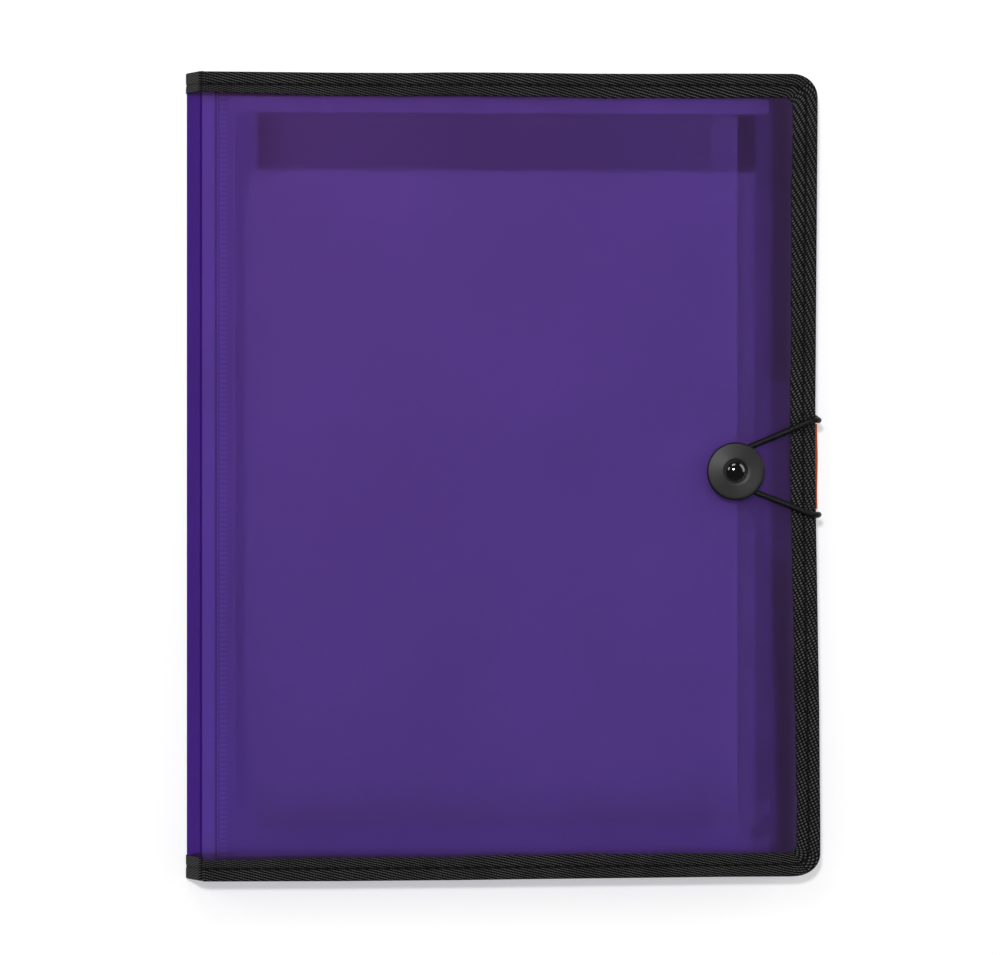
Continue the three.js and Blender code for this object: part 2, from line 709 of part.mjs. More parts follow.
/** Strip along a divider's free edge, with its index tab and the tab's curved shoulders. */
function tabStripOutline(tabHigh) {
  const edge = dividerEdge;
  const left = edge - stripWidth;
  const right = edge + tabReach;
  const low = dividerLow + stripShortening;
  const high = dividerHigh - stripShortening;
  const tabLow = tabHigh - tabHeight;
  const crest = tabLow + humpHeight;
  const crestX = edge + humpReach;
  const cornerX = right - tabCorner;
  const rise = (edge + crestX) / 2;
  const fall = (crestX + cornerX) / 2;
  const slope = (edge + cornerX) / 2;
  const outline = new THREE.Shape();
  outline.moveTo(left, low);
  outline.lineTo(edge, low);
  outline.lineTo(edge, tabLow - shoulderDip);
  outline.bezierCurveTo(rise, tabLow - shoulderDip, rise, crest, crestX, crest);
  outline.bezierCurveTo(fall, crest, fall, tabLow, cornerX, tabLow);
  outline.absarc(cornerX, tabLow + tabCorner, tabCorner, -Math.PI / 2, 0);
  outline.lineTo(right, tabHigh - tabCorner);
  outline.absarc(cornerX, tabHigh - tabCorner, tabCorner, 0, Math.PI / 2);
  outline.bezierCurveTo(slope, tabHigh, slope, tabHigh - shoulderDrop, edge, tabHigh - shoulderDrop);
  outline.lineTo(edge, high);
  outline.lineTo(left, high);
  return outline;
}

for (let number = 1; number <= dividerCount; number += 1) {
  const low = dividerBottom + (dividerCount - number) * dividerPitch;
  const frontLeaf = low + leafThickness + leafClearance;
  const strip = frontLeaf + leafThickness + stripClearance;
  const tabHigh = dividerHigh - tabsFromTop - (number - 1) * tabStep;
  add(`divider_${number}_back_leaf`, plate(leafOutline(), low, leafThickness), "divider");
  add(`divider_${number}_front_leaf`, plate(leafOutline(), frontLeaf, leafThickness), "divider");
  add(`divider_${number}_tab_strip`, plate(tabStripOutline(tabHigh), strip, stripThickness), "tab");
  if (number === coinDivider) {
    const coinX = dividerEdge - coinFromEdge;
    const coin = pin(coinX, coinFromMiddle, coinRadius, strip, strip + stripThickness, buttonSides);
    add("pocket_coin", coin, "coin");
  }
}

// Elastic: two risers from the back binding and one loop over the front edge and round the button
const cordRadius = cordDiameter / 2;
const pivotLow = new THREE.Vector2(backEdge + cordPivotOut, cordRadius + contactGap);
const pivotHigh = new THREE.Vector2(frontEdge + cordClearance + cordRadius, frontPlane);

/** Round cord along a list of points. */
function cord(points, steps, sides = 8) {
  const section = new THREE.Shape();
  for (let i = 0; i < sides; i += 1) {
    const angle = (i / sides) * 2 * Math.PI;
    const x = cordRadius * Math.cos(angle);
    const y = cordRadius * Math.sin(angle);
    if (i === 0) section.moveTo(x, y);
    else section.lineTo(x, y);
  }
  const extrudePath = new THREE.CatmullRomCurve3(points, false, "centripetal");
  return new THREE.ExtrudeGeometry(section, { steps, extrudePath, curveSegments: 1, bevelEnabled: false });
}

/** Straight strand from a sewn end to the front edge, short of both by a small gap. */
function riser(anchorY, edgeY) {
  const from = new THREE.Vector3(pivotLow.x, anchorY, pivotLow.y);
  const to = new THREE.Vector3(pivotHigh.x, edgeY, pivotHigh.y);
  const gap = cordJointGap / from.distanceTo(to);
  const ends = [gap, 0.5, 1 - gap].map((t) => from.clone().lerp(to, t));
  return cord(ends, 4);
}

/** Route of the loop: up round the edge, in to the button, round its spacer and back out. */
function loopRoute() {
  const overBinding = frontBindingTop + cordClearance + cordRadius;
  const onSheet = (spacerLow + spacerHigh) / 2;
  const wrap = spacerRadius + cordClearance + cordRadius + cordSlack;
  const wrapMiddle = closureY + cordSlack;
  const bend = overBinding - pivotHigh.y;
  const wrapAngle = 2 * (Math.PI - cordWrapFrom);
  const round = [];
  for (let i = 0; i <= cordWrapSteps; i += 1) {
    const angle = cordWrapFrom + (i / cordWrapSteps) * wrapAngle;
    const x = buttonX + wrap * Math.cos(angle);
    round.push(new THREE.Vector3(x, wrapMiddle + wrap * Math.sin(angle), onSheet));
  }
  const firstAngle = cordJointGap / 2 / bend;
  const strand = (y, wrapEnd) => {
    const corner = [firstAngle, Math.PI / 6, Math.PI / 3, Math.PI / 2].map((angle) => {
      const x = pivotHigh.x - bend * (1 - Math.cos(angle));
      return new THREE.Vector3(x, y, pivotHigh.y + bend * Math.sin(angle));
    });
    const overTape = corner[3].clone().lerp(wrapEnd, 1 / 3).setZ(overBinding);
    return [...corner, overTape];
  };
  const upper = strand(strands.upper, round[0]);
  const lower = strand(strands.lower, round[cordWrapSteps]).reverse();
  return [...upper, ...round, ...lower];
}

add("elastic_upper_riser", riser(anchors.upper, strands.upper), "elastic");
add("elastic_lower_riser", riser(anchors.lower, strands.lower), "elastic");
add("elastic_loop", cord(loopRoute(), 72), "elastic");

// The origin lies under the middle of the closed padfolio
padfolio.updateMatrixWorld(true);
const extent = new THREE.Box3().setFromObject(padfolio, true);
const middle = extent.getCenter(new THREE.Vector3());
padfolio.position.set(-middle.x, -middle.y, -extent.min.z);

export default padfolio;
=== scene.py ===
# %% [markdown]
# # A padfolio of translucent sheet, bound with twill tape
#
# One scored sheet of frosted polypropylene is folded round a writing pad and five clear divider
# pockets. A black tape is sewn over its edges, and an elastic loop round a button keeps it shut.
# The rigid plates of the exact model stay, and what is soft, woven or finely shaped is made anew.
# Everything is in metres: +X to the free edge, +Y to the top of the pad, +Z through the front.

# %% Load the model
import json
import math
import bmesh
import bpy
import numpy as np
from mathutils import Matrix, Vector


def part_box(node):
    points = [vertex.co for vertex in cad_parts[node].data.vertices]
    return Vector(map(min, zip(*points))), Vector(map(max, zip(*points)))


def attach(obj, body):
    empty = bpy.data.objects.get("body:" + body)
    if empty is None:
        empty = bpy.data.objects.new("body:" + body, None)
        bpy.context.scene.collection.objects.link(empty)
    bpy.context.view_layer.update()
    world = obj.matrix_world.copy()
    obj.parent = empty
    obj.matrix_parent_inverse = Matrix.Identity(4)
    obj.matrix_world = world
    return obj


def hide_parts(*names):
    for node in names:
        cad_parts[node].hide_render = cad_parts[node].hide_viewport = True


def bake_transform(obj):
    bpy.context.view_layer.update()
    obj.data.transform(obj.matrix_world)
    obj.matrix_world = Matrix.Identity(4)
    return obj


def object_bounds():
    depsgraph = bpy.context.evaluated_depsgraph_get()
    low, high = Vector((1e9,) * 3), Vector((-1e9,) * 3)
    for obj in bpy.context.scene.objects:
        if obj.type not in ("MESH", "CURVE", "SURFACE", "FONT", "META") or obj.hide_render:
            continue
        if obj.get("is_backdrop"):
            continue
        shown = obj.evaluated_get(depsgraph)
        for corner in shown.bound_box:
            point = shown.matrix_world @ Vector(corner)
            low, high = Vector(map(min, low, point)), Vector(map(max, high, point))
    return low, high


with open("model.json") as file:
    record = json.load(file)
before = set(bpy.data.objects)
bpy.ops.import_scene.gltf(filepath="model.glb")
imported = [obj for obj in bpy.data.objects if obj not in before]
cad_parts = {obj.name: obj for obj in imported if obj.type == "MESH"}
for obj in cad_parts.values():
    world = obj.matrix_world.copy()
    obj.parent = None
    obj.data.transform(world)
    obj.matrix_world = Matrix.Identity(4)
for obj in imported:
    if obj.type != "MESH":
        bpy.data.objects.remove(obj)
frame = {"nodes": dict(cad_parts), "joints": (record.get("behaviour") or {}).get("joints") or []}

cad_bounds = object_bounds()
MM = 0.001

# %% Places taken from the model
joints = {joint["name"]: joint for joint in frame["joints"]}

# How far the binding tape's laps reach in from the edges.
BAND_SIDE, BAND_BOTTOM, BAND_TOP, BAND_TOP_AT_SPINE = 10.5, 9.8, 10.2, 8.4


def box_mm(node):
    """Lowest and highest corner of a node, in millimetres."""
    low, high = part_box(node)
    return np.array(low) / MM, np.array(high) / MM


def pivot(joint):
    """X and Z of a joint's axis, in millimetres."""
    return np.array(joints[joint]["pos_m"])[[0, 2]] / MM


def in_plane(x, z):
    """A place in the plane of X and Z, from millimetres to metres."""
    return (x * MM, 0.0, z * MM)


back_crease, front_crease = pivot("spine_hinge"), pivot("front_cover_hinge")
spine_direction = (front_crease - back_crease) / np.linalg.norm(front_crease - back_crease)
print("creases in X and Z:", np.round(back_crease, 2), np.round(front_crease, 2))

# %% [markdown]
# ## Camera, light and floor
#
# The photograph looks straight down with a long lens, a touch from the spine's side. The camera is
# placed by its target, its distance and one small lean.

# %% Camera
camera_target = np.array([-2.26, -0.66, 18.0]) * MM
camera_distance = 1.5
camera_lean = math.radians(2.66)
toward_camera = np.array([-math.sin(camera_lean), 0.0, math.cos(camera_lean)])

camera_data = bpy.data.cameras.new("camera")
camera_data.lens = 129.04
camera_data.clip_start = 0.01
camera = bpy.data.objects.new("camera", camera_data)
camera.location = camera_target + camera_distance * toward_camera
camera.rotation_euler = (0.0, -camera_lean, 0.0)
bpy.context.collection.objects.link(camera)
bpy.context.scene.camera = camera
bpy.context.scene.view_settings.view_transform = "Standard"
print("camera at", np.round(camera.location, 3))

# %% [markdown]
# A pile of clear sheets needs more than the usual eight see-through steps, or the rays stop half
# way and leave black patches.

# %% Steps through clear sheets
bpy.context.scene.cycles.transparent_max_bounces = 64


# %% [markdown]
# ## Small helpers for node trees
#
# Short helpers place a node and fill or link its sockets, or start a material with its constant
# values. A number in a node tree is a Value: arithmetic on it adds Math nodes, so that a formula
# reads as it would on paper.

# %% Node helpers
def two_sided(operation):
    """The methods of an operator, for a Value on its left and for one on its right."""
    return (lambda self, other: calc(self.tree, operation, self, other),
            lambda self, other: calc(self.tree, operation, other, self))


class Value:
    """A number in a node tree, with the arithmetic that adds Math nodes to the tree."""
    __array_ufunc__ = None  # leaves a formula that starts with a numpy number to this class
    __add__, __radd__ = two_sided("ADD")
    __sub__, __rsub__ = two_sided("SUBTRACT")
    __mul__, __rmul__ = two_sided("MULTIPLY")
    __truediv__, __rtruediv__ = two_sided("DIVIDE")
    __pow__, __rpow__ = two_sided("POWER")
    __lt__, __gt__ = two_sided("LESS_THAN")

    def __init__(self, tree, socket):
        self.tree, self.socket = tree, socket

    def __abs__(self):
        return self.put_through("ABSOLUTE")

    def put_through(self, function):
        """The value of a function such as SINE or FRACT."""
        return calc(self.tree, function, self)

    def clamped(self):
        """The same value, kept from 0 to 1."""
        self.socket.node.use_clamp = True
        return self


def connect(tree, socket, value):
    """Links a socket to a Value or another socket, or sets its value."""
    value = value.socket if isinstance(value, Value) else value
    if isinstance(value, bpy.types.NodeSocket):
        tree.links.new(value, socket)
    else:
        socket.default_value = value


def place(tree, kind, sockets=None, **settings):
    """Adds a node with its settings, then links or fills the sockets that are named."""
    node = tree.nodes.new(kind)
    for key, value in settings.items():
        setattr(node, key, value)
    for key, value in (sockets or {}).items():
        connect(tree, node.inputs[key], value)
    return node


def calc(tree, operation, *values):
    """One step of arithmetic on numbers or Values."""
    node = place(tree, "ShaderNodeMath", operation=operation)
    for socket, value in zip(node.inputs, values):
        connect(tree, socket, value)
    return Value(tree, node.outputs[0])


def blend_colors(tree, factor, first, second):
    """Colour that goes from the first to the second as the factor goes from 0 to 1."""
    node = place(tree, "ShaderNodeMix", data_type="RGBA")
    for index, value in ((0, factor), (6, first), (7, second)):
        connect(tree, node.inputs[index], value)
    return node.outputs[2]


def tint(tree, shader, factor, low, high):
    """Makes the shader's colour go from low to high with a factor."""
    connect(tree, shader.inputs["Base Color"], blend_colors(tree, factor, low, high))


def vector_calc(tree, operation, vector, other):
    """One step of arithmetic on vectors; for SCALE the other value is a number."""
    node = place(tree, "ShaderNodeVectorMath", {0: vector}, operation=operation)
    connect(tree, node.inputs["Scale" if operation == "SCALE" else 1], other)
    return node.outputs[0]


def effect(name, inputs, outputs):
    """Starts a shared node group with float inputs (a vector where the default is a tuple)."""
    tree = bpy.data.node_groups.new(name, "ShaderNodeTree")
    for label, default in inputs.items():
        kind = "NodeSocketVector" if isinstance(default, tuple) else "NodeSocketFloat"
        tree.interface.new_socket(label, in_out="INPUT", socket_type=kind).default_value = default
    for label in outputs:
        tree.interface.new_socket(label, in_out="OUTPUT", socket_type="NodeSocketFloat")
    given = {socket.name: Value(tree, socket) for socket in tree.nodes.new("NodeGroupInput").outputs}
    result = tree.nodes.new("NodeGroupOutput").inputs
    return tree, given, result


def finish_of(name, **constants):
    """A material and its Principled shader, with the constants on the shader's own sockets."""
    material = bpy.data.materials.new(name)
    material.use_nodes = True
    shader = material.node_tree.nodes["Principled BSDF"]
    for label, value in constants.items():
        shader.inputs[label.replace("_", " ")].default_value = value
    return material, material.node_tree, shader


def in_millimetres(tree):
    """Object coordinates in millimetres."""
    source = tree.nodes.new("ShaderNodeTexCoord").outputs["Object"]
    return vector_calc(tree, "SCALE", source, 1000.0)


def parts_of(tree, vector):
    """X, Y and Z of a vector, as three Values."""
    return [Value(tree, socket) for socket in place(tree, "ShaderNodeSeparateXYZ", {0: vector}).outputs]


def attribute(tree, name):
    """A number that the mesh keeps for each of its points."""
    return Value(tree, place(tree, "ShaderNodeAttribute", attribute_name=name).outputs["Fac"])


def ray_kinds(tree):
    """1 for a camera ray, a glossy ray and a transmission ray, in this order."""
    path = tree.nodes.new("ShaderNodeLightPath").outputs
    return [Value(tree, path[f"Is {kind} Ray"]) for kind in ("Camera", "Glossy", "Transmission")]


def grey(value):
    """A colour without hue."""
    return (value, value, value, 1.0)


# %% [markdown]
# The page behind the object is pure white with a narrow soft shadow. The floor is a white diffuse
# sheet that glows a little for rays from the camera, from a reflection or through glass. The glow
# lifts the page to white and leaves the darkest part of the shadow.

# %% Floor
FLOOR_REACH = 6.0
FLOOR_DROP = 0.00002
FLOOR_GLOW = 0.34
GLOW_THROUGH_GLASS = 0.25


def make_floor():
    """White sheet under the object, whose glow depends on the kind of ray that meets it."""
    material = bpy.data.materials.new("studio_floor")
    material.use_nodes = True
    tree = material.node_tree
    tree.nodes.remove(tree.nodes["Principled BSDF"])
    camera_ray, glossy, transmission = ray_kinds(tree)
    seen = calc(tree, "MAXIMUM", camera_ray, glossy)
    strength = calc(tree, "MAXIMUM", seen, transmission * GLOW_THROUGH_GLASS) * FLOOR_GLOW
    glow = place(tree, "ShaderNodeEmission", {"Color": grey(1.0), "Strength": strength})
    white = place(tree, "ShaderNodeBsdfDiffuse", {"Color": grey(0.8)})
    both = place(tree, "ShaderNodeAddShader", {0: glow.outputs[0], 1: white.outputs[0]})
    connect(tree, tree.nodes["Material Output"].inputs[0], both.outputs[0])
    mesh = bpy.data.meshes.new("studio_floor")
    corners = [(FLOOR_REACH * x, FLOOR_REACH * y, 0) for x, y in ((-1, -1), (1, -1), (1, 1), (-1, 1))]
    mesh.from_pydata(corners, [], [(0, 1, 2, 3)])
    mesh.materials.append(material)
    floor = bpy.data.objects.new("studio_floor", mesh)
    floor.location.z = -FLOOR_DROP
    bpy.context.collection.objects.link(floor)
    floor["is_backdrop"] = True


make_floor()

# %% [markdown]
# Half of the light comes from one lamp close to the camera, so its shadow is short and falls to
# the lower right. The rest is an even white sky and three large boxes, which draw the bright
# windows on the rivet's dark dome.

# %% World and lamps
SKY_LEVEL = 0.34
SKY_IN_GLOSS = 0.03


def make_world():
    """White for the camera and through glass, SKY_LEVEL as light, nearly black in reflections."""
    world = bpy.data.worlds.new("studio")
    bpy.context.scene.world = world
    world.use_nodes = True
    tree = world.node_tree
    camera_ray, glossy, transmission = ray_kinds(tree)
    seen = calc(tree, "MAXIMUM", camera_ray, transmission)
    level = seen * (1.0 - SKY_LEVEL) + SKY_LEVEL + glossy * (SKY_IN_GLOSS - SKY_LEVEL)
    background = tree.nodes["Background"]
    background.inputs["Color"].default_value = grey(1.0)
    connect(tree, background.inputs["Strength"], level)


def soft_box(name, azimuth, elevation, distance, width, height, level):
    """A rectangular lamp that faces the middle of the padfolio, placed by its direction in degrees.
    level is the share of a white floor's brightness that it adds: power is level times pi squared
    times distance squared, divided by the sine of the elevation."""
    lamp = bpy.data.lights.new(name, "AREA")
    lamp.shape = "RECTANGLE"
    lamp.size, lamp.size_y = width, height
    turn, rise = math.radians(azimuth), math.radians(elevation)
    lamp.energy = level * (math.pi * distance) ** 2 / math.sin(rise)
    body = bpy.data.objects.new(name, lamp)
    flat = distance * math.cos(rise)
    body.location = (flat * math.cos(turn), flat * math.sin(turn), distance * math.sin(rise))
    body.rotation_euler = body.location.to_track_quat("Z", "Y").to_euler()
    bpy.context.collection.objects.link(body)


LAMPS = (
    ("main_box", 116, 78, 1.7, 0.13, 0.13, 0.43),
    ("left_box", 154, 37, 1.5, 0.5, 0.6, 0.06),
    ("top_box", 100, 43, 1.5, 0.55, 0.5, 0.06),
    ("right_box", 25, 27, 1.5, 1.3, 0.9, 0.1),
)
make_world()
for lamp_row in LAMPS:
    soft_box(*lamp_row)


# %% [markdown]
# ## Surfaces from grids
#
# Every new piece is a grid of points worked out with numpy: a row for each step along the piece
# and a column for each step round or across it.

# %% Helpers for lines
def unit(vectors):
    """The same directions with length 1."""
    return vectors / np.linalg.norm(vectors, axis=-1, keepdims=True)


def length_along(points):
    """Distance from the first point of a line to each one."""
    return np.concatenate([[0.0], np.cumsum(np.linalg.norm(np.diff(points, axis=0), axis=1))])


def points_at(places, run, points):
    """Points of a line at places along it, where run is the place of each known point."""
    return np.stack([np.interp(places, run, points[:, k]) for k in range(3)], 1)


def quadratic(start, pull, end, t):
    """Curve from start to end whose ends point to pull."""
    return (1 - t) ** 2 * start + 2 * t * (1 - t) * pull + t ** 2 * end


def ease(t):
    """From 0 to 1 with a soft start and a soft end."""
    t = np.clip(t, 0, 1)
    return t * t * (3 - 2 * t)


# %% Helpers for meshes
def mesh_of(name, points, faces):
    """Mesh from points in millimetres and lists of their numbers."""
    mesh = bpy.data.meshes.new(name)
    mesh.from_pydata((points.reshape(-1, 3) * MM).tolist(), [], faces)
    return mesh


def grid_piece(name, points, uv=None, ring=True, loop=False, sharp=40.0, marks=()):
    """Object from points of shape (rows, columns, 3) in millimetres.
    ring joins the last column to the first, and loop joins the last row to the first. A ring that
    is no loop gets a face on each end. uv has one row or column more where the grid is joined.
    marks are (name, numbers) pairs, one number per point, kept for the material to read."""
    rows, columns = points.shape[:2]
    i = np.arange(rows if loop else rows - 1)[:, None]
    j = np.arange(columns if ring else columns - 1)[None, :]
    i_next, j_next = (i + 1) % rows, (j + 1) % columns
    quads = np.stack(np.broadcast_arrays(
        i * columns + j, i * columns + j_next, i_next * columns + j_next, i_next * columns + j), -1)
    faces = quads.reshape(-1, 4).tolist()
    caps = 0
    if ring and not loop:
        faces += [list(range(columns - 1, -1, -1)), list(range((rows - 1) * columns, rows * columns))]
        caps = 2 * columns
    mesh = mesh_of(name, points, faces)
    if uv is not None:
        corner = np.stack([uv[i, j], uv[i, j + 1], uv[i + 1, j + 1], uv[i + 1, j]], 2).reshape(-1, 2)
        corner = np.vstack([corner, np.zeros((caps, 2))])
        mesh.uv_layers.new(name="surface").data.foreach_set("uv", corner.astype(np.float32).ravel())
    piece = shown(name, mesh, sharp)
    for label, numbers in marks:
        numbers = np.broadcast_to(numbers, (rows, columns)).astype(np.float32).ravel()
        piece.data.attributes.new(label, "FLOAT", "POINT").data.foreach_set("value", numbers)
    return piece


def carried(name, section, places, axis, slots, shift=0.0, sharp=50.0):
    """A closed section, of (n, 2) points, carried along an axis. slots names the two axes that the
    section's numbers go to, and shift is added to the first of them."""
    points = np.zeros((len(places), len(section), 3))
    points[..., axis] = places[:, None]
    points[..., slots[0]] = section[:, 0] + shift
    points[..., slots[1]] = section[:, 1]
    return grid_piece(name, points, sharp=sharp)


def shown(name, mesh, sharp=40.0, merge=None):
    """Links a mesh as an object, with its faces outwards and its corners sharp past an angle.
    Points closer than merge, in metres, become one."""
    work = bmesh.new()
    work.from_mesh(mesh)
    if merge:
        bmesh.ops.remove_doubles(work, verts=work.verts, dist=merge)
    bmesh.ops.recalc_face_normals(work, faces=work.faces)
    work.to_mesh(mesh)
    work.free()
    mesh.polygons.foreach_set("use_smooth", np.ones(len(mesh.polygons), bool))
    mesh.set_sharp_from_angle(angle=math.radians(sharp))
    piece = bpy.data.objects.new(name, mesh)
    bpy.context.collection.objects.link(piece)
    return piece


def many_shown(name, points, faces, sharp):
    """Copies of a small mesh as one object. points has the shape (copies, points of one, 3), and
    faces are arrays of the first copy's faces."""
    copies, per_copy = points.shape[:2]
    base = (np.arange(copies) * per_copy)[:, None, None]
    rows = [row for group in faces for row in (group[None] + base).reshape(-1, group.shape[1]).tolist()]
    return shown(name, mesh_of(name, points, rows), sharp)


def dress(piece, material, body=None, blend=None, instead_of=()):
    """Gives a piece its material and slot, and the body that it moves with; a piece given a blend is
    baked where it stands and follows no body.
    """
    piece.data.materials.append(material)
    if blend:
        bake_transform(piece)
    else:
        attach(piece, body)
    if instead_of:
        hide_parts(*instead_of)
    print(piece.name, len(piece.data.polygons), "faces")


# %% [markdown]
# ## Frosted cover sheet
#
# A frosted sheet scatters what lies behind it: things that touch it stay crisp and things a few
# millimetres down blur. A rough transmitting surface does that by itself. The base colour is the
# colour of one pass through the sheet, and a fine grain breaks up the gloss.

# %% Fine grain, shared by all the plastics
def make_grain():
    """Height and shade of a fine random grain of a given size in millimetres."""
    tree, given, result = effect(
        "fine_grain", {"Place": (0.0, 0.0, 0.0), "Size": 0.6, "Cloud": 40.0}, ("Height", "Shade"))
    for label, size, detail in (("Height", "Size", 2.0), ("Shade", "Cloud", 3.0)):
        noise = place(tree, "ShaderNodeTexNoise", {
            "Vector": given["Place"], "Scale": 1.0 / given[size], "Detail": detail})
        connect(tree, result[label], noise.outputs[0])
    return tree


fine_grain = make_grain()


def grain_nodes(tree, size, cloud, coordinates=None):
    """Places the shared grain in a material and returns its height and shade."""
    node = place(tree, "ShaderNodeGroup", node_tree=fine_grain)
    for label, value in (("Place", coordinates or in_millimetres(tree)), ("Size", size), ("Cloud", cloud)):
        connect(tree, node.inputs[label], value)
    return {label: Value(tree, node.outputs[label]) for label in ("Height", "Shade")}


def grained(name, size, cloud, low, high, depth, strength, **constants):
    """Material whose colour goes from low to high with the grain, which also makes its bump."""
    material, tree, shader = finish_of(name, **constants)
    grain = grain_nodes(tree, size, cloud)
    tint(tree, shader, grain["Shade"], low, high)
    bump(tree, shader, grain["Height"], depth, strength)
    return material


def bump(tree, shader, height, distance, strength=1.0):
    """Feeds a height, in millimetres at 1, to the shader's normal."""
    levels = {"Height": height, "Distance": distance * MM, "Strength": strength}
    node = place(tree, "ShaderNodeBump", levels)
    connect(tree, shader.inputs["Normal"], node.outputs[0])


# %% [markdown]
# The scored lines and the creases of the sheet are denser, the strip between them is paler where
# it was pressed, and the divider flange is welded on along a ladder of bars. Beside the front's top
# tape and on the back beside the pad the colour is darker: painted shade, under the tape's edge and
# inside the case. All of these are stripes in X and Y that make the colour darker or paler.

# %% Marks in the cover
def make_stripe():
    """1 within half a width of a place, falling to 0 over a soft edge."""
    tree, given, result = effect("stripe", {"At": 0.0, "Place": 0.0, "Half": 1.0, "Edge": 0.2}, ("Mask",))
    fade = (given["Half"] - abs(given["At"] - given["Place"])) / given["Edge"]
    connect(tree, result["Mask"], (fade + 0.5).clamped())
    return tree


stripe_group = make_stripe()


def striped(tree, level, at, place_at, half, edge, change):
    """A level with a stripe on it that changes it, above 0 to paler and below 0 to darker."""
    node = place(tree, "ShaderNodeGroup", node_tree=stripe_group)
    for label, value in (("At", at), ("Place", place_at), ("Half", half), ("Edge", edge)):
        connect(tree, node.inputs[label], value)
    return Value(tree, node.outputs["Mask"]) * change + level


# %% Cover material
PALEST_TINT = (0.47, 0.33, 0.83, 1.0)
# The spine's copy of the sheet is darker and more violet than the covers': painted shade on the slanted spine
# and its folds.
SPINE_SHADED_TINT = (0.44, 0.17, 0.86, 1.0)

# Marks along the spine's side of the front: place from the crease, half width, soft edge, change.
LONG_MARKS = (
    (3.2, 2.6, 0.4, 0.23), (0.7, 0.22, 0.2, 0.16), (5.6, 0.22, 0.2, -0.12), (6.3, 0.22, 0.2, -0.14),
    (6.95, 0.22, 0.2, 0.3), (7.55, 0.22, 0.2, -0.12), (8.0, 0.22, 0.2, 0.1),
)
LADDER_FROM_CREASE, LADDER_HALF, LADDER_CHANGE = 9.2, 1.55, 0.22
LADDER_LOW = box_mm("front_binding")[0][1] + BAND_BOTTOM + 0.3
LADDER_PITCH = 2.0

# Painted shade, as dark stripes: in Y under the edge of the front's top tape, and in X on the back
# beside the pad, where the inside of the case lies in shade.
TOP_TAPE_SHADE = (box_mm("front_top_flap")[1][1] + 2.4, 2.0, 0.3, -0.28)
BESIDE_PAD_SHADE = (0.5 * (box_mm("pad_sheets")[1][0] + box_mm("back_binding")[1][0] - BAND_SIDE), 4.9, 1.0, -0.27)


def make_cover_poly(name, palest=PALEST_TINT, ior=1.3, marks=None):
    """Frosted sheet: its colour is a level of the palest tint. marks adds a sheet's own marks and its
    painted shade.
    """
    material, tree, shader = finish_of(
        name, Transmission_Weight=0.95, IOR=ior, Specular_Tint=(0.25, 0.03, 0.15, 1.0))
    where = in_millimetres(tree)
    grain = grain_nodes(tree, 0.35, 45.0, where)
    level = grain["Shade"] * 0.08 + 0.64
    if marks:
        level = marks(tree, level, *parts_of(tree, where)[:2])
    tint(tree, shader, level, grey(0.0), palest)
    connect(tree, shader.inputs["Roughness"], grain["Height"] * 0.08 + 0.41)
    bump(tree, shader, grain["Height"], 0.02, 0.5)
    return material


def back_painted_shade(tree, level, x, _):
    """Painted shade: a dark stripe beside the pad, inside the case."""
    return striped(tree, level, x, *BESIDE_PAD_SHADE)


def front_marks_and_shade(tree, level, x, y):
    """The long marks, the ladder's bars and the painted shade under the top tape, a dark stripe. A bar
    is where a stripe in X and a stripe of each pitch in Y are both 1."""
    from_crease = x - front_crease[0]
    for mark in LONG_MARKS:
        level = striped(tree, level, from_crease, *mark)
    up_ladder = (y - LADDER_LOW) / LADDER_PITCH
    rung = striped(tree, 0.0, up_ladder.put_through("FRACT"), 0.25, 0.18, 0.1, 1.0)
    bar = striped(tree, 0.0, from_crease, LADDER_FROM_CREASE, LADDER_HALF, 0.2, rung)
    # Painted shade: a dark stripe under the edge of the top tape.
    return striped(tree, bar * LADDER_CHANGE + level, y, *TOP_TAPE_SHADE)


cover_poly = make_cover_poly("frosted_cover", marks=back_painted_shade)
front_poly = make_cover_poly("frosted_front", marks=front_marks_and_shade)
spine_poly = make_cover_poly("frosted_spine", SPINE_SHADED_TINT, ior=1.03)


def refinish(material, *names):
    """Gives CAD nodes their finish through the slots that they have."""
    for name in names:
        for slot in frame["nodes"][name].material_slots:
            slot.material = material


refinish(cover_poly, "back_cover_sheet")
refinish(spine_poly, "spine_sheet")
refinish(front_poly, "front_cover_sheet")


# %% [markdown]
# ## Clear sheets
#
# The dividers, their tab strips, the flaps and the pad's pocket are hazy clear sheets. Ten leaves
# lie on each other, so each is nearly see-through by its alpha, and the haze adds up. Cut edges
# catch the light, so upright faces are much less clear.

# %% Clear materials
def make_clear_poly(name, haze, color, lines=(), fades=()):
    """Hazy clear sheet. lines are (position, half width, haze) of brighter lines across X, painted
    highlights where a cut edge catches the light, and fades are (axis, start, end, least): the haze
    grows from its least share to all of it."""
    material, tree, shader = finish_of(name, Roughness=0.4, IOR=1.49, Base_Color=color)
    normal = parts_of(tree, tree.nodes.new("ShaderNodeTexCoord").outputs["Normal"])
    upright = abs(normal[2]) < 0.5
    where = in_millimetres(tree)
    spots = parts_of(tree, where)
    for axis, start, end, least in fades:
        grown = place(tree, "ShaderNodeMapRange", {
            "Value": spots[axis], "From Min": start, "From Max": end, "To Min": least})
        haze = Value(tree, grown.outputs[0]) * haze
    clear = upright * 0.3 + haze
    for position, half, extra in lines:
        clear = (abs(spots[0] - position) < half) * extra + clear
    grain = grain_nodes(tree, 0.5, 60.0, where)
    connect(tree, shader.inputs["Alpha"], (clear * (grain["Shade"] * 0.5 + 0.75)).clamped())
    bump(tree, shader, grain["Height"], 0.01, 0.4)
    return material


def edge_line(node, half, haze, inset=0.0):
    """A bright line along a node's edge on the +X side: a painted highlight of the cut edge."""
    return [(box_mm(node)[1][0] - inset, half, haze)]


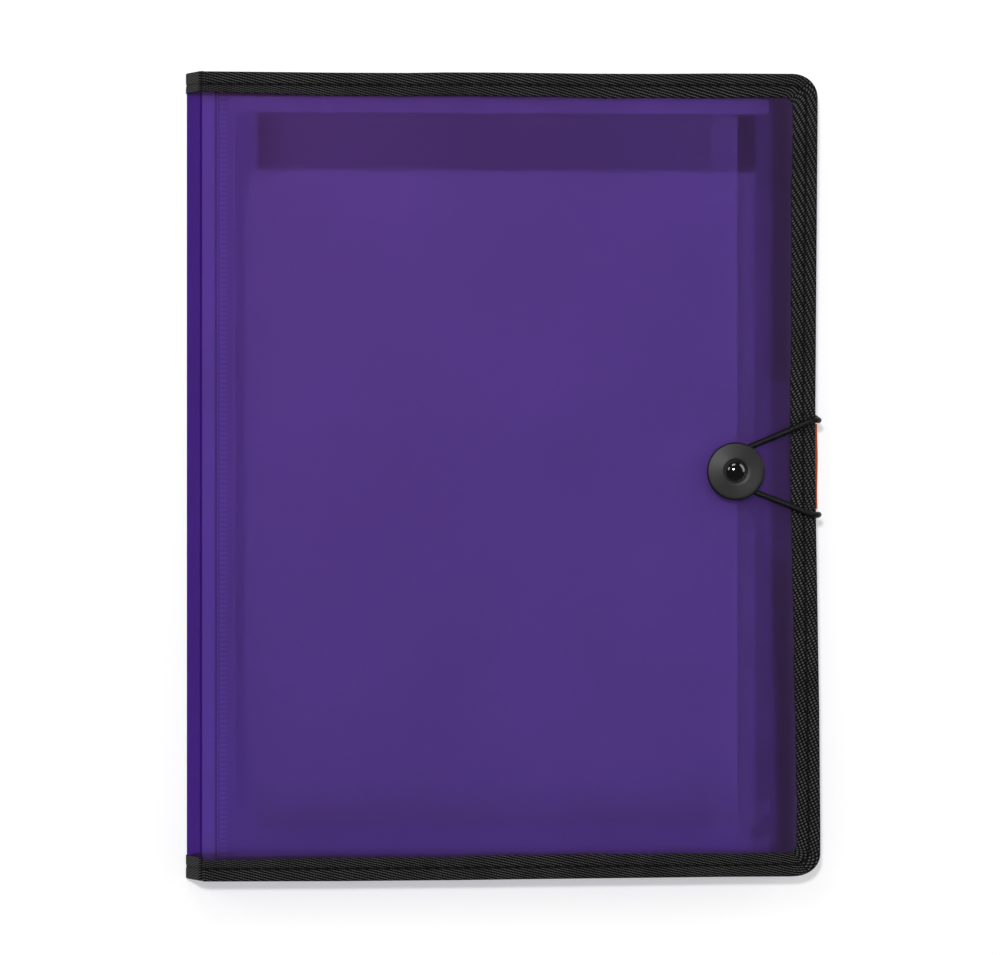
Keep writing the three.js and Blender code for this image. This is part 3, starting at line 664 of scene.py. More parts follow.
NEAR_WHITE = (0.98, 0.97, 1.0, 1.0)
TINTED = (0.93, 0.9, 0.97, 1.0)
HAZE_FADES = [(1, -142, -95, 0.0), (1, 129, 120, 0.1), (0, -110, -90, 0.0)]
DIVIDERS = range(1, 6)
CLEAR_SHEETS = (
    # name, haze, colour, lines, fades, nodes
    ("divider_leaf", 0.19, NEAR_WHITE, edge_line("divider_1_front_leaf", 0.22, 0.1), HAZE_FADES,
     [f"divider_{number}_{side}_leaf" for number in DIVIDERS for side in ("back", "front")]),
    ("pad_pocket", 0.02, NEAR_WHITE, (), (),
     ["pad_pocket_panel", "pocket_weld_left", "pocket_weld_right", "pocket_weld_bottom"]),
    ("tab_strip", 0.035, (0.92, 0.88, 0.97, 1.0), (), (),
     [f"divider_{number}_tab_strip" for number in DIVIDERS]),
    ("top_flap", 0.22, (0.95, 0.92, 0.97, 1.0), (), (), ["front_top_flap"]),
    ("cover_liner", 0.06, TINTED, (), (), ["closure_patch"]),
    ("flange", 0.06, TINTED, edge_line("divider_flange", 0.25, 0.4, inset=0.25), (), ["divider_flange"]),
    ("bottom_flap", 0.07, TINTED, edge_line("front_bottom_flap", 0.2, 0.4, inset=0.2), (),
     ["front_bottom_flap"]),
    ("coin", 0.3, (0.95, 0.93, 0.97, 1.0), (), (), ["pocket_coin"]),
)
for name, haze, color, lines, fades, nodes in CLEAR_SHEETS:
    refinish(make_clear_poly(name, haze, color, lines, fades), *nodes)

# %% [markdown]
# ## Folds of the sheet
#
# The real sheet runs on through each fold as a living hinge, and the rigid model stops short of
# both creases. So each fold gets a strip between its two bodies, curved along a quadratic curve
# with the crease as its control point.

# %% Creases and fold lines
def fold_line(crease, before, after, gap, steps=12):
    """Points and upward normals, in X and Z, of a quadratic curve that starts a gap before the
    crease and ends a gap after it, and each point's share of the way."""
    start, end = crease - before * gap, crease + after * gap
    t = np.linspace(0.0, 1.0, steps + 1)[:, None]
    line = quadratic(start, crease, end, t)
    along = unit(2 * (1 - t) * (crease - start) + 2 * t * (end - crease))
    return line, along[:, ::-1] * (-1, 1), t[:, 0]


across = np.array([1.0, 0.0])
FOLDS = {
    "back": (back_crease, -across, spine_direction, "back_cover", "spine"),
    "front": (front_crease, spine_direction, across, "spine", "front_cover"),
}


def fold_gap(side, kind):
    """How far the sheet or the tape stops short of a crease."""
    node = {"sheet": {"back": "back_cover_sheet", "front": "front_cover_sheet"},
            "tape": {"back": "back_binding", "front": "front_binding"}}[kind][side]
    return box_mm(node)[0][0] - FOLDS[side][0][0]


def fold_ends(side, line):
    """The bodies that a fold joins, and its two ends in metres."""
    return (*FOLDS[side][3:], in_plane(*line[0]), in_plane(*line[-1]))


# %% Strips of sheet through the folds
def make_fold_sheet(side, thickness=0.8, thinned=0.5):
    """A strip whose thickness goes from thickness to thinned and back, by a half sine."""
    crease, before, after = FOLDS[side][:3]
    line, normal, t = fold_line(crease, before, after, fold_gap(side, "sheet"))
    half = 0.5 * (thickness - (thickness - thinned) * np.sin(np.pi * t))[:, None]
    section = np.vstack([line + normal * half, (line - normal * half)[::-1]])
    low, high = box_mm("spine_sheet")
    piece = carried(f"{side}_fold_sheet", section, np.linspace(low[1], high[1], 41), 1, (0, 2), sharp=60)
    dress(piece, spine_poly, blend=fold_ends(side, line))


for side in FOLDS:
    make_fold_sheet(side)


# %% [markdown]
# ## Twill binding tape
#
# The tape is a coarse black twill: short shiny floats in leaning rows, near black between them.
# One float is a soft oval on a leaning lattice, whose height shades both the colour and the bump:
# the float tops are painted lighter, a painted highlight of their sheen.
# The pattern reads the tape's UV map in millimetres, so it follows the folds and the corners.

# %% Twill floats
def make_twill():
    """Height of oval floats whose centres lie on a leaning lattice.
    With row pitch R along the tape, column pitch C across it and a shift S for each row, the cell
    numbers are j = u / R and i = (v - S j) / C. The distance from the cell's middle is turned by
    the lean, divided by the oval's half length and half width, squared and taken from 1. A power
    of 1.6 rounds the float's top. Jitter moves the floats by a slow noise."""
    tree, given, result = effect(
        "twill_floats",
        {"Place": (0.0, 0.0, 0.0), "Row": 1.08, "Column": 1.78, "Shift": 0.46, "Lean": 0.75,
         "Length": 0.76, "Width": 0.46, "Jitter": 0.55},
        ("Height",))
    noise = place(tree, "ShaderNodeTexNoise", {"Vector": given["Place"], "Scale": 0.5, "Detail": 2.0})
    centred = vector_calc(tree, "SUBTRACT", noise.outputs["Color"], (0.5, 0.5, 0.5))
    moved = vector_calc(tree, "SCALE", centred, given["Jitter"])
    u, v, _ = parts_of(tree, vector_calc(tree, "ADD", given["Place"], moved))
    row = u / given["Row"]
    column = (v - row * given["Shift"]) / given["Column"]
    in_row, in_column = [number.put_through("FRACT") - 0.5 for number in (row, column)]
    du = in_row * given["Row"]
    dv = in_column * given["Column"] + in_row * given["Shift"]
    cosine, sine = [given["Lean"].put_through(function) for function in ("COSINE", "SINE")]
    long_way, short_way = dv * cosine - du * sine, dv * sine + du * cosine
    far = abs(long_way / given["Length"]) ** 2.0 + abs(short_way / given["Width"]) ** 2.0
    connect(tree, result["Height"], (1.0 - far).clamped() ** 1.6)
    return tree


twill_floats = make_twill()


def twill_nodes(tree, **values):
    """Places the twill on a material's UV map, with its own values, and returns its height."""
    node = place(tree, "ShaderNodeGroup", node_tree=twill_floats)
    connect(tree, node.inputs["Place"], tree.nodes.new("ShaderNodeTexCoord").outputs["UV"])
    for label, value in values.items():
        connect(tree, node.inputs[label], value)
    return Value(tree, node.outputs["Height"])


def make_tape_material():
    """Floats from near black to dark grey, their lighter tops a painted highlight, and darker in the
    seam's groove, painted shade there.
    """
    material, tree, shader = finish_of("twill_tape", Roughness=0.55, Specular_IOR_Level=0.04)
    height = twill_nodes(tree, Lean=attribute(tree, "lean"))
    grain = grain_nodes(tree, 0.25, 12.0)
    # Painted light: float tops lighter for their sheen, darker in the seam's groove for its shade, times the
    # grain's random tone.
    tone_and_painted_light = height * (grain["Shade"] + 0.5) * (1.0 - attribute(tree, "groove") * 0.9)
    tint(tree, shader, tone_and_painted_light, grey(0.003), grey(0.095))
    bump(tree, shader, grain["Height"] * 0.2 + height, 0.22, 0.8)
    return material


tape_material = make_tape_material()

# %% [markdown]
# ## Bound edges
#
# A tape is folded over the edge and sewn through near its middle. It is ruled between two rails,
# the bound edge outside and the selvedge inside. Across it runs a closed section: over the top
# lap, round the edge, under the bottom lap and back inside the fold.

# %% The tape's section
SEAM_IN = 5.3
STITCH_PITCH = 3.3
LAP_OF_PATTERN = 5.0
EDGE_ROUND = 0.7
GROOVE_DEPTH, GROOVE_WIDTH = 0.22, 0.5
PUCKER_DEPTH, PUCKER_WIDTH = 0.03, 1.6
WIDTH_WAVES = ((0.1, 41.0), (0.07, 17.0), (0.04, 3.9))
# Stretch of the pattern across the tape and lean of its floats, along the free edge and elsewhere.
SIDE_WEAVE, END_WEAVE = (1.0, 0.75), (-1.6, -1.1)


def tape_section(half=1.0, thickness=0.5):
    """Section as arrays: distance in from the edge up to the seam, share of the way from the seam
    to the selvedge, and height. Lap, round edge, lap, then the inner faces back."""
    lap = np.linspace(1.0, 0.0, 9)
    near = np.linspace(SEAM_IN, 0.75, 12)[1:]
    turn = np.linspace(90.0, -90.0, 11)[1:-1] * math.pi / 180
    selvedge = np.array([[SEAM_IN, 0.985, half - thickness], [SEAM_IN, 1.0, half - 0.8 * thickness],
                         [SEAM_IN, 1.0, half - 0.2 * thickness]])
    upper = np.array([[SEAM_IN, share * 0.985, half] for share in lap] + [[s, 0.0, half] for s in near])
    edge = np.stack([EDGE_ROUND * (1 - np.cos(turn)), 0 * turn, half * np.sin(turn)], 1)
    inner = np.array([[SEAM_IN, 0.5, -(half - thickness)], [0.8, 0.0, -(half - thickness)],
                      [0.5, 0.0, 0.0], [0.8, 0.0, half - thickness], [SEAM_IN, 0.5, half - thickness]])
    flip = np.array([1, 1, -1])
    return np.vstack([selvedge, upper, edge, upper[::-1] * flip, selvedge[::-1] * flip, inner])


def tape_piece(name, outer, inner, up, seed=0, half=None, on_side=False):
    """Tape ruled between an outer and an inner rail, each (n, 3), with up as its unit height.
    Height is 1 mm times the section's, less a groove and plus a pucker along the seam, and half
    scales it at each place. on_side says where the tape runs along the free edge: elsewhere its
    pattern is turned over, denser across, and leans the other way."""
    toward = inner - outer
    width = np.linalg.norm(toward, axis=1)
    toward = toward / width[:, None]
    run = length_along(0.5 * (outer + inner))
    section = tape_section()
    rng = np.random.default_rng(seed)
    wave = sum(a * np.sin(2 * np.pi * run / length + rng.uniform(0, 6.3)) for a, length in WIDTH_WAVES)
    inward = section[:, 0] + section[:, 1] * (width[:, None] + wave[:, None] - SEAM_IN)
    height = np.broadcast_to(section[:, 2], inward.shape).copy()
    outside = np.abs(height) > 0.75
    from_seam = inward - SEAM_IN
    groove = np.exp(-(from_seam / GROOVE_WIDTH) ** 2)
    stitched = (np.cos(2 * np.pi * run / STITCH_PITCH) - 1)[:, None]
    pucker = PUCKER_DEPTH * stitched * np.exp(-(from_seam / PUCKER_WIDTH) ** 2)
    height += np.sign(height) * (pucker - GROOVE_DEPTH * groove) * outside
    if half is not None:
        height *= half[:, None]
    points = outer[:, None] + toward[:, None] * inward[..., None] + up[:, None] * height[..., None]
    flat = np.stack([section[:, 0] + section[:, 1] * LAP_OF_PATTERN, section[:, 2]], 1)
    walked = length_along(flat)
    walked = np.append(walked, walked[-1] + 1.0)
    uv = np.stack(np.broadcast_arrays(run[:, None], walked[None, :]), -1).astype(float)
    on_side = np.broadcast_to(on_side, len(run))
    uv[..., 1] *= np.where(on_side, SIDE_WEAVE[0], END_WEAVE[0])[:, None]
    lean = np.where(on_side, SIDE_WEAVE[1], END_WEAVE[1])[:, None]
    # The groove mark tells the material where to paint shade along the seam.
    return grid_piece(name, points, uv, sharp=70, marks=(("groove", groove * outside), ("lean", lean)))


# %% Rails of a cover's three bound sides
def arc(centre, radius, first, last, steps):
    """Points of an arc, from one angle to another in degrees."""
    angle = np.radians(np.linspace(first, last, steps + 1))
    return np.stack([centre[0] + radius * np.cos(angle), centre[1] + radius * np.sin(angle)], 1)


def straight(start, end, steps):
    """Points at even steps from one place to another."""
    t = np.linspace(0.0, 1.0, steps + 1)[:, None]
    return (1 - t) * np.array(start) + t * np.array(end)


OUTER_CORNER, INNER_CORNER = 10.0, 3.5
CORNER_STEPS = 18
CORNER_EASE = 18.0
TAPE_STEP = 0.9


def bound_path(left, right, low, high, radius, steps):
    """From the spine along the top, round both free corners and back along the bottom."""
    far = right - radius
    return np.vstack([
        straight((left, high), (far, high), steps[0]),
        arc((far, high - radius), radius, 90, 0, CORNER_STEPS)[1:],
        straight((right, high - radius), (right, low + radius), steps[1])[1:],
        arc((far, low + radius), radius, 0, -90, CORNER_STEPS)[1:],
        straight((far, low), (left, low), steps[0])[1:]])


def sewn_offset(path, centre, side, top, bottom):
    """Moves each point of a straight-sided path to where the sewing left it. Each of side, top and
    bottom is a short list of places along the edge and how far the tape stands out there."""
    x, y = path[:, 0], path[:, 1]
    near_side = ease((x - centre[0] + CORNER_EASE) / CORNER_EASE)
    near_end = ease((np.abs(y) - centre[1] + CORNER_EASE) / CORNER_EASE)
    moved = path.copy()
    moved[:, 0] += near_side * np.interp(y, *side)
    moved[:, 1] += near_end * np.where(y > 0, np.interp(x, *top), np.interp(x, *bottom))
    return moved


def cover_rails(node, sewn):
    """Outer and inner rail of the tape on one cover, and where it runs along the free edge."""
    (left, low, z_low), (right, high, z_high) = box_mm(node)
    steps = int((right - left) / TAPE_STEP), int((high - low) / TAPE_STEP)
    outer = bound_path(left, right, low, high, OUTER_CORNER, steps)
    inner = bound_path(left, right - BAND_SIDE, low + BAND_BOTTOM, high - BAND_TOP, INNER_CORNER, steps)
    outer = sewn_offset(outer, (right, high), *sewn["outer"])
    inner = sewn_offset(inner, (right - BAND_SIDE, high - BAND_TOP), *sewn["inner"])
    z = np.full((len(outer), 1), 0.5 * (z_low + z_high))
    on_side = (outer[:, 0] - right + OUTER_CORNER) > np.abs(outer[:, 1]) - (high - OUTER_CORNER)
    return np.hstack([outer, z]), np.hstack([inner, z]), on_side


# %% [markdown]
# A sewn edge is never quite straight. The elastic pulls the free edge in at the button, the tape
# narrows towards the spine, and the sewing wanders by a few tenths of a millimetre. Each rail has
# a few places along it with how far it stands out from the straight line there.

# %% Tape of both covers
FLAT = ([-1, 1], [0, 0])
FRONT_SEWN = {
    # for the outer and the inner rail: along the free edge, along the top, along the bottom
    "outer": (([-148, -98, -23, 5, 30, 75, 153], [2.3, 1.84, 0.55, 0.2, 0.22, 0.55, 1.17]),
              ([-119, -70, -40, -25, 0, 35, 65, 90], [-0.15, -0.4, -0.35, -0.05, 0, -0.27, -0.2, 0.1]),
              ([-127, -70, -19, 10, 70, 107], [-0.3, -0.42, -0.25, 0, 0.4, 0.65])),
    "inner": (([-148, -135, -98, -48, -23, 5, 28, 55, 115, 153],
               [2.7, 2.9, 2.05, 1.2, 0.6, 0.1, 0.05, 0.5, 0.6, 1.2]),
              ([-127, -119, -94, -65, -45, -25, 0, 20, 45, 82, 107],
               [1.8, 1.4, 0.67, 0.05, 0, 0.55, 0.3, 0.05, -0.3, -0.1, 0.3]),
              ([-127, -119, -100, -70, -30, 0, 20], [-1.4, -1.25, -0.7, -0.42, -0.3, 0.3, 0.6])),
}
BACK_SEWN = {
    "outer": (([-148, -98, -23, 5, 30, 75, 153], [2.3, 1.8, 0.5, 0.2, 0.2, 0.5, 1.1]), FLAT, FLAT),
    "inner": (([-148, -98, -23, 30, 153], [2.5, 1.9, 0.5, 0.1, 1.1]),
              ([-130, -70], [BAND_TOP - BAND_TOP_AT_SPINE, 0]), FLAT),
}
up_z = np.array([0.0, 0.0, 1.0])
RAILS = {"front": cover_rails("front_binding", FRONT_SEWN), "back": cover_rails("back_binding", BACK_SEWN)}
WAVE_SEEDS = {"front": 3, "back": 8}
for side, (outer, inner, on_side) in RAILS.items():
    up = np.tile(up_z, (len(outer), 1))
    piece = tape_piece(f"{side}_tape", outer, inner, up, WAVE_SEEDS[side], on_side=on_side)
    dress(piece, tape_material, f"{side}_cover", instead_of=[f"{side}_binding"])


# %% Tape over the ends of the spine and through the folds
OUTER_STRETCH, INNER_STRETCH = 0.8, 0.6
FOLD_SQUEEZE = {"back": 0.1, "front": 0.05}


def short_tape(name, line, normal, side, width, half=None):
    """Tape over the top (side 1) or bottom (side -1) edge along a line in X and Z. It stands a
    little further out the lower it lies, where it was stretched round the back crease."""
    edge = side * box_mm("front_binding")[1][1]
    n = len(line)
    drop = np.clip((front_crease[1] - line[:, 1]) / (front_crease[1] - back_crease[1]), 0, 1)
    outer = np.stack([line[:, 0], edge + side * OUTER_STRETCH * drop, line[:, 1]], 1)
    inner = np.stack([line[:, 0], edge - side * (width - INNER_STRETCH * drop), line[:, 1]], 1)
    up = np.stack([normal[:, 0], np.zeros(n), normal[:, 1]], 1)
    return tape_piece(name, outer, inner, up, seed=n, half=half)


for end, side, width in (("top", 1, BAND_TOP_AT_SPINE), ("bottom", -1, BAND_BOTTOM)):
    for fold in ("back", "front"):
        crease, before, after = FOLDS[fold][:3]
        line, normal, t = fold_line(crease, before, after, fold_gap(fold, "tape"), 16)
        squeeze = 1.0 - FOLD_SQUEEZE[fold] * np.sin(np.pi * t)
        if fold == "back":
            normal = -normal
        piece = short_tape(f"{fold}_fold_tape_{end}", line, normal, side, width, squeeze)
        dress(piece, tape_material, blend=fold_ends(fold, line))
    start = back_crease + spine_direction * fold_gap("back", "tape")
    stop = front_crease - spine_direction * fold_gap("front", "tape")
    line = straight(start, stop, 16)
    normal = np.tile(spine_direction[::-1] * (-1, 1), (len(line), 1))
    piece = short_tape(f"spine_tape_{end}", line, normal, side, width)
    dress(piece, tape_material, "spine", instead_of=[f"spine_binding_{end}"])


# %% [markdown]
# ## Stitches
#
# The seam is a row of short black stitches that lie in the groove. One stitch is a small arched
# capsule, turned to the direction of the rail at its place.

# %% Stitch rows
STITCH_LEVEL = 0.86
STITCH_RINGS, STITCH_SIDES = 7, 6
thread = grained("sewing_thread", 0.12, 5.0, grey(0.003), grey(0.009), 0.04, 0.6,
                 Roughness=0.5, Specular_IOR_Level=0.05)


def stitch_row(name, outer, inner, up, level, body):
    """Stitches along the seam, at plus and minus a level from the tape's middle plane.
    A stitch's centre line rises as a half sine over its length, and its section is an ellipse."""
    seam = outer + unit(inner - outer) * SEAM_IN
    run = length_along(seam)
    spots = np.arange(STITCH_PITCH / 2, run[-1], STITCH_PITCH)
    centre = points_at(spots, run, seam)
    ahead = unit(points_at(spots + 0.5, run, seam) - centre)
    height = points_at(spots, run, up)
    sideways = np.cross(height, ahead)
    t = np.linspace(-1.0, 1.0, STITCH_RINGS)[:, None]
    turn = np.linspace(0, 2 * np.pi, STITCH_SIDES + 1)[None, :-1]
    round_off = np.sqrt(np.clip(1.0 - 0.94 * t ** 2, 0, 1))
    along = np.broadcast_to(t * 1.25, (STITCH_RINGS, STITCH_SIDES))
    wide = 0.24 * round_off * np.cos(turn)
    tall = 0.16 * round_off * np.sin(turn) + 0.1 * np.cos(t * np.pi / 2) - 0.06
    grids = []
    for sign in (1.0, -1.0):
        raised = sign * (level + tall)
        offset = sum(numbers[None, ..., None] * axis[:, None, None]
                     for numbers, axis in ((along, ahead), (wide, sideways), (raised, height)))
        grids.append(centre[:, None, None] + offset)
    i, j = np.arange(STITCH_RINGS - 1)[:, None] * STITCH_SIDES, np.arange(STITCH_SIDES)[None, :]
    j_next = (j + 1) % STITCH_SIDES
    quads = np.stack([i + j, i + j_next, i + STITCH_SIDES + j_next, i + STITCH_SIDES + j], -1).reshape(-1, 4)
    per_stitch = STITCH_RINGS * STITCH_SIDES
    caps = np.stack([np.arange(STITCH_SIDES - 1, -1, -1), np.arange(per_stitch - STITCH_SIDES, per_stitch)])
    points = np.concatenate(grids).reshape(-1, per_stitch, 3)
    piece = many_shown(name, points, (quads, caps), 80)
    dress(piece, thread, body)


for side, (outer, inner, _) in RAILS.items():
    up = np.tile(up_z, (len(outer), 1))
    stitch_row(f"{side}_seam", outer, inner, up, STITCH_LEVEL, f"{side}_cover")

# %% [markdown]
# ## Writing pad
#
# The pad is a stack of thin sheets, each a hair out of line and printed with blue rules and a
# margin line. The tape that holds them is folded over the top edge.

# %% Ruled paper
RULE_PITCH = 25.4 * 9 / 32
MARGIN_IN = 31.5
FIRST_RULE_DOWN = 33.9
RULE_HALF, MARGIN_HALF = 0.22, 0.25


def make_paper():
    """Paper with a blue rule at each pitch and one red margin line, light grey rather than white:
    painted shade for the dim inside of the closed case.
    """
    material, tree, shader = finish_of("ruled_paper", Roughness=0.85)
    where = in_millimetres(tree)
    x, y, _ = parts_of(tree, where)
    low, high = box_mm("pad_sheets")
    below = high[1] - FIRST_RULE_DOWN - y
    cell = (below / RULE_PITCH + 0.5).put_through("FRACT")
    rule = (abs(cell - 0.5) * RULE_PITCH < RULE_HALF) * (below > -1.0)
    margin = abs(x - (low[0] + MARGIN_IN)) < MARGIN_HALF
    grain = grain_nodes(tree, 0.4, 25.0, where)
    # Light grey for white paper: painted shade inside the case.
    sheet = blend_colors(tree, grain["Shade"], (0.43, 0.43, 0.45, 1.0), (0.49, 0.49, 0.51, 1.0))
    ruled = blend_colors(tree, rule, sheet, (0.22, 0.34, 0.6, 1.0))
    tint(tree, shader, margin, ruled, (0.55, 0.12, 0.2, 1.0))
    bump(tree, shader, grain["Height"], 0.02, 0.3)
    return material


# %% Stack of sheets
def make_pad_sheets(count=50):
    """Thin boxes on each other. Each corner is the stack's corner plus that sheet's own small slip."""
    low, high = box_mm("pad_sheets")
    rng = np.random.default_rng(21)
    slip = rng.uniform(-0.18, 0.18, (count, 1, 2)) * np.array([0.6, 1.0])
    pitch = (high[2] - low[2]) / count
    corner = np.array([[0, 0, 0], [1, 0, 0], [1, 1, 0], [0, 1, 0],
                       [0, 0, 1], [1, 0, 1], [1, 1, 1], [0, 1, 1]])
    points = np.zeros((count, 8, 3))
    points[..., 0] = np.where(corner[:, 0], high[0] - 0.15, low[0] + 0.15)
    points[..., 1] = np.where(corner[:, 1], high[1] - 0.2, low[1] + 0.2)
    points[..., :2] += slip
    points[..., 2] = low[2] + (np.arange(count)[:, None] + 0.08 + 0.84 * corner[:, 2]) * pitch
    faces = np.array([[0, 3, 2, 1], [4, 5, 6, 7], [0, 1, 5, 4], [1, 2, 6, 5], [2, 3, 7, 6], [3, 0, 4, 7]])
    piece = many_shown("pad_leaves", points, (faces,), 30)
    dress(piece, make_paper(), "pad", instead_of=["pad_sheets"])


make_pad_sheets()


# %% Card and top tape
def make_fibrous(name, roughness, stretch, size, cloud, by_height, low, high, depth, strength):
    """Grain stretched along X. The colour follows its height by one share and its shade by the
    rest."""
    material, tree, shader = finish_of(name, Roughness=roughness)
    grain = grain_nodes(tree, size, cloud, vector_calc(tree, "MULTIPLY", in_millimetres(tree), stretch))
    mixed = grain["Height"] * by_height + grain["Shade"] * (1.0 - by_height)
    tint(tree, shader, mixed, low, high)
    bump(tree, shader, grain["Height"], depth, strength)
    return material


board = make_fibrous("grey_board", 0.9, (0.4, 1.6, 4.0), 0.9, 14.0, 0.6,
                     (0.3, 0.26, 0.21, 1), (0.5, 0.45, 0.38, 1), 0.05, 0.5)
crepe_tape = make_fibrous("crepe_tape", 0.6, (0.35, 2.2, 2.2), 1.0, 20.0, 1.0,
                          (0.012, 0.01, 0.016, 1), (0.03, 0.025, 0.04, 1), 0.08, 0.6)


def make_pad_tape():
    """Strip of tape folded over the pad's top edge: a closed section with two rounded corners,
    carried along X."""
    low, high = box_mm("pad_top_tape")
    sheets_top = box_mm("pad_sheets")[1][2]
    back_band, thick, rounding = 14.0, high[2] - sheets_top - 0.05, 0.7
    y, z0, z1 = high[1], low[2], high[2]
    outer = np.vstack([[[low[1], z1]], straight((low[1] + 0.3, z1), (y - rounding, z1), 8),
                       arc((y - rounding, z1 - rounding), rounding, 90, 0, 6)[1:],
                       arc((y - rounding, z0 + rounding), rounding, 0, -90, 6),
                       straight((y - rounding, z0), (y - back_band, z0), 5)[1:]])
    inset = rounding - thick
    inner = np.vstack([straight((y - back_band, z0 + thick), (y - rounding, z0 + thick), 5),
                       arc((y - rounding, z0 + rounding), inset, -90, 0, 6)[1:],
                       arc((y - rounding, z1 - rounding), inset, 0, 90, 6),
                       straight((y - rounding, z1 - thick), (low[1] + 0.3, z1 - thick), 8)[1:],
                       [[low[1], z1 - thick]]])
    section = np.vstack([outer, inner])
    x = np.linspace(low[0], high[0], 60)
    ragged = np.zeros((len(x), len(section)))
    ragged[:, [0, -1]] = (0.12 * np.sin(x * 0.31) + 0.08 * np.sin(x * 0.83 + 1.0))[:, None]
    piece = carried("pad_tape", section, x, 0, (1, 2), ragged)
    dress(piece, crepe_tape, "pad", instead_of=["pad_top_tape"])


refinish(board, "pad_cardboard")
make_pad_tape()


# %% [markdown]
# ## Button and rivet
#
# The button is a satin disc with a bevelled rim and a shallow dish, and the rivet's head is a
# glossy dome with a thin collar. Both are a profile of radius and height, turned in many steps.

# %% Turned pieces
def turned_piece(name, profile, centre, steps=128, sharp=35.0):
    """Surface of revolution of (radius, height) points about an upright axis at centre. A profile
    that starts on the axis is open, and its points there are merged into one."""
    profile = np.array(profile)
    angle = np.linspace(0, 2 * np.pi, steps, endpoint=False)[:, None]
    points = np.stack([centre[0] + profile[:, 0] * np.cos(angle), centre[1] + profile[:, 0] * np.sin(angle),
                       np.broadcast_to(profile[:, 1], (steps, len(profile)))], -1)
    piece = grid_piece(name, points, ring=bool(profile[0, 0] > 0), loop=True, sharp=sharp)
    mesh = piece.data
    bpy.data.objects.remove(piece)
    return shown(name, mesh, sharp, merge=1e-7)


def smooth_profile(*corners, steps=5):
    """Profile through corners, each (radius, height, rounding), with an arc-like curve at each
    rounded corner: a quadratic curve from a rounding before the corner to a rounding after it."""
    corners = np.array(corners, float)
    out = []
    for k, (r, h, size) in enumerate(corners):
        here = np.array([r, h])
        if size == 0 or k in (0, len(corners) - 1):
            out.append(here[None])
            continue
        before = corners[k - 1, :2] - here
        after = corners[k + 1, :2] - here
        a = here + before / np.linalg.norm(before) * size
        b = here + after / np.linalg.norm(after) * size
        out.append(quadratic(a, here, b, np.linspace(0, 1, steps + 1)[:, None]))
    return np.vstack(out)


RING_PITCH = 0.3


def make_satin_plastic():
    """Satin plastic with fine rings from its turned mould: sin(2 pi r / pitch) of the distance r
    from the button's middle. The rings spread the highlights into bright sectors."""
    material, tree, shader = finish_of("satin_button", IOR=1.5, Specular_IOR_Level=0.44)
    where = in_millimetres(tree)
    grain = grain_nodes(tree, 0.3, 6.0, where)
    x, y, _ = parts_of(tree, where)
    dx, dy = x - button_middle[0], y - button_middle[1]
    radius = (dx * dx + dy * dy).put_through("SQRT")
    rings = (radius * (2 * math.pi / RING_PITCH)).put_through("SINE")
    tint(tree, shader, grain["Shade"], grey(0.004), grey(0.009))
    connect(tree, shader.inputs["Roughness"], grain["Height"] * 0.15 + 0.3)
    bump(tree, shader, grain["Height"] * 2.0 + rings, 0.012, 0.7)
    return material


button_low, button_high = box_mm("closure_button")
button_middle = 0.5 * (button_low + button_high)[:2]
z0, z1 = button_low[2], button_high[2]
satin_plastic = make_satin_plastic()
enamel = grained("black_enamel", 0.8, 8.0, grey(0.001), grey(0.003), 0.004, 0.3, Roughness=0.05, IOR=2.4)
rim = 0.5 * (button_high - button_low)[0]
button_profile = smooth_profile(
    # radius, height and rounding: post, underside, bevelled rim, dish and the hole for the rivet
    (2.0, z0, 0), (rim - 0.7, z0, 0.25), (rim, z0 + 0.7, 0.3), (rim, z1 - 1.05, 0.35),
    (rim - 0.55, z1 - 0.46, 0.35), (rim - 1.7, z1 - 0.34, 0.4), (5.7, z1, 0.5), (4.85, z1 - 0.15, 0.15),
    (4.55, z1 - 0.8, 0.1), (2.0, z1 - 0.8, 0))
piece = turned_piece("button_disc", button_profile, button_middle)
dress(piece, satin_plastic, "button", instead_of=["closure_button"])

# %% Rivet
rivet_low, rivet_high = box_mm("button_rivet")
rivet_middle = 0.5 * (rivet_low + rivet_high)[:2]
seat = z1 - 0.75
SHANK_RADIUS, COLLAR_RADIUS, DOME_RADIUS, COLLAR_HEIGHT = 1.8, 4.2, 4.05, 0.3
dome_turn = np.radians(np.linspace(0, 90, 17))
dome_foot = seat + COLLAR_HEIGHT
dome = np.stack([DOME_RADIUS * np.cos(dome_turn),
                 dome_foot + (rivet_high[2] - dome_foot) * np.sin(dome_turn)], 1)
dome[-1, 0] = 0.0
shank = [[0.0, rivet_low[2]], [SHANK_RADIUS, rivet_low[2]], [SHANK_RADIUS, seat]]
collar = [[COLLAR_RADIUS, seat], [COLLAR_RADIUS + 0.05, seat + 0.12]]
rivet_profile = np.vstack([shank, collar, dome])
piece = turned_piece("rivet_head", rivet_profile, rivet_middle)
dress(piece, enamel, "front_cover", instead_of=["button_rivet"])
refinish(enamel, "button_washer")
refinish(satin_plastic, "button_spacer")


# %% [markdown]
# ## Elastic cord
#
# A rubber core in a braided sleeve runs out of the binding, where it is flat and sewn, up the free
# edge, over it, and round the button's post. The sleeve's ridges are two sets of spirals that wind
# opposite ways, and the higher of the two at each place shapes the mesh.

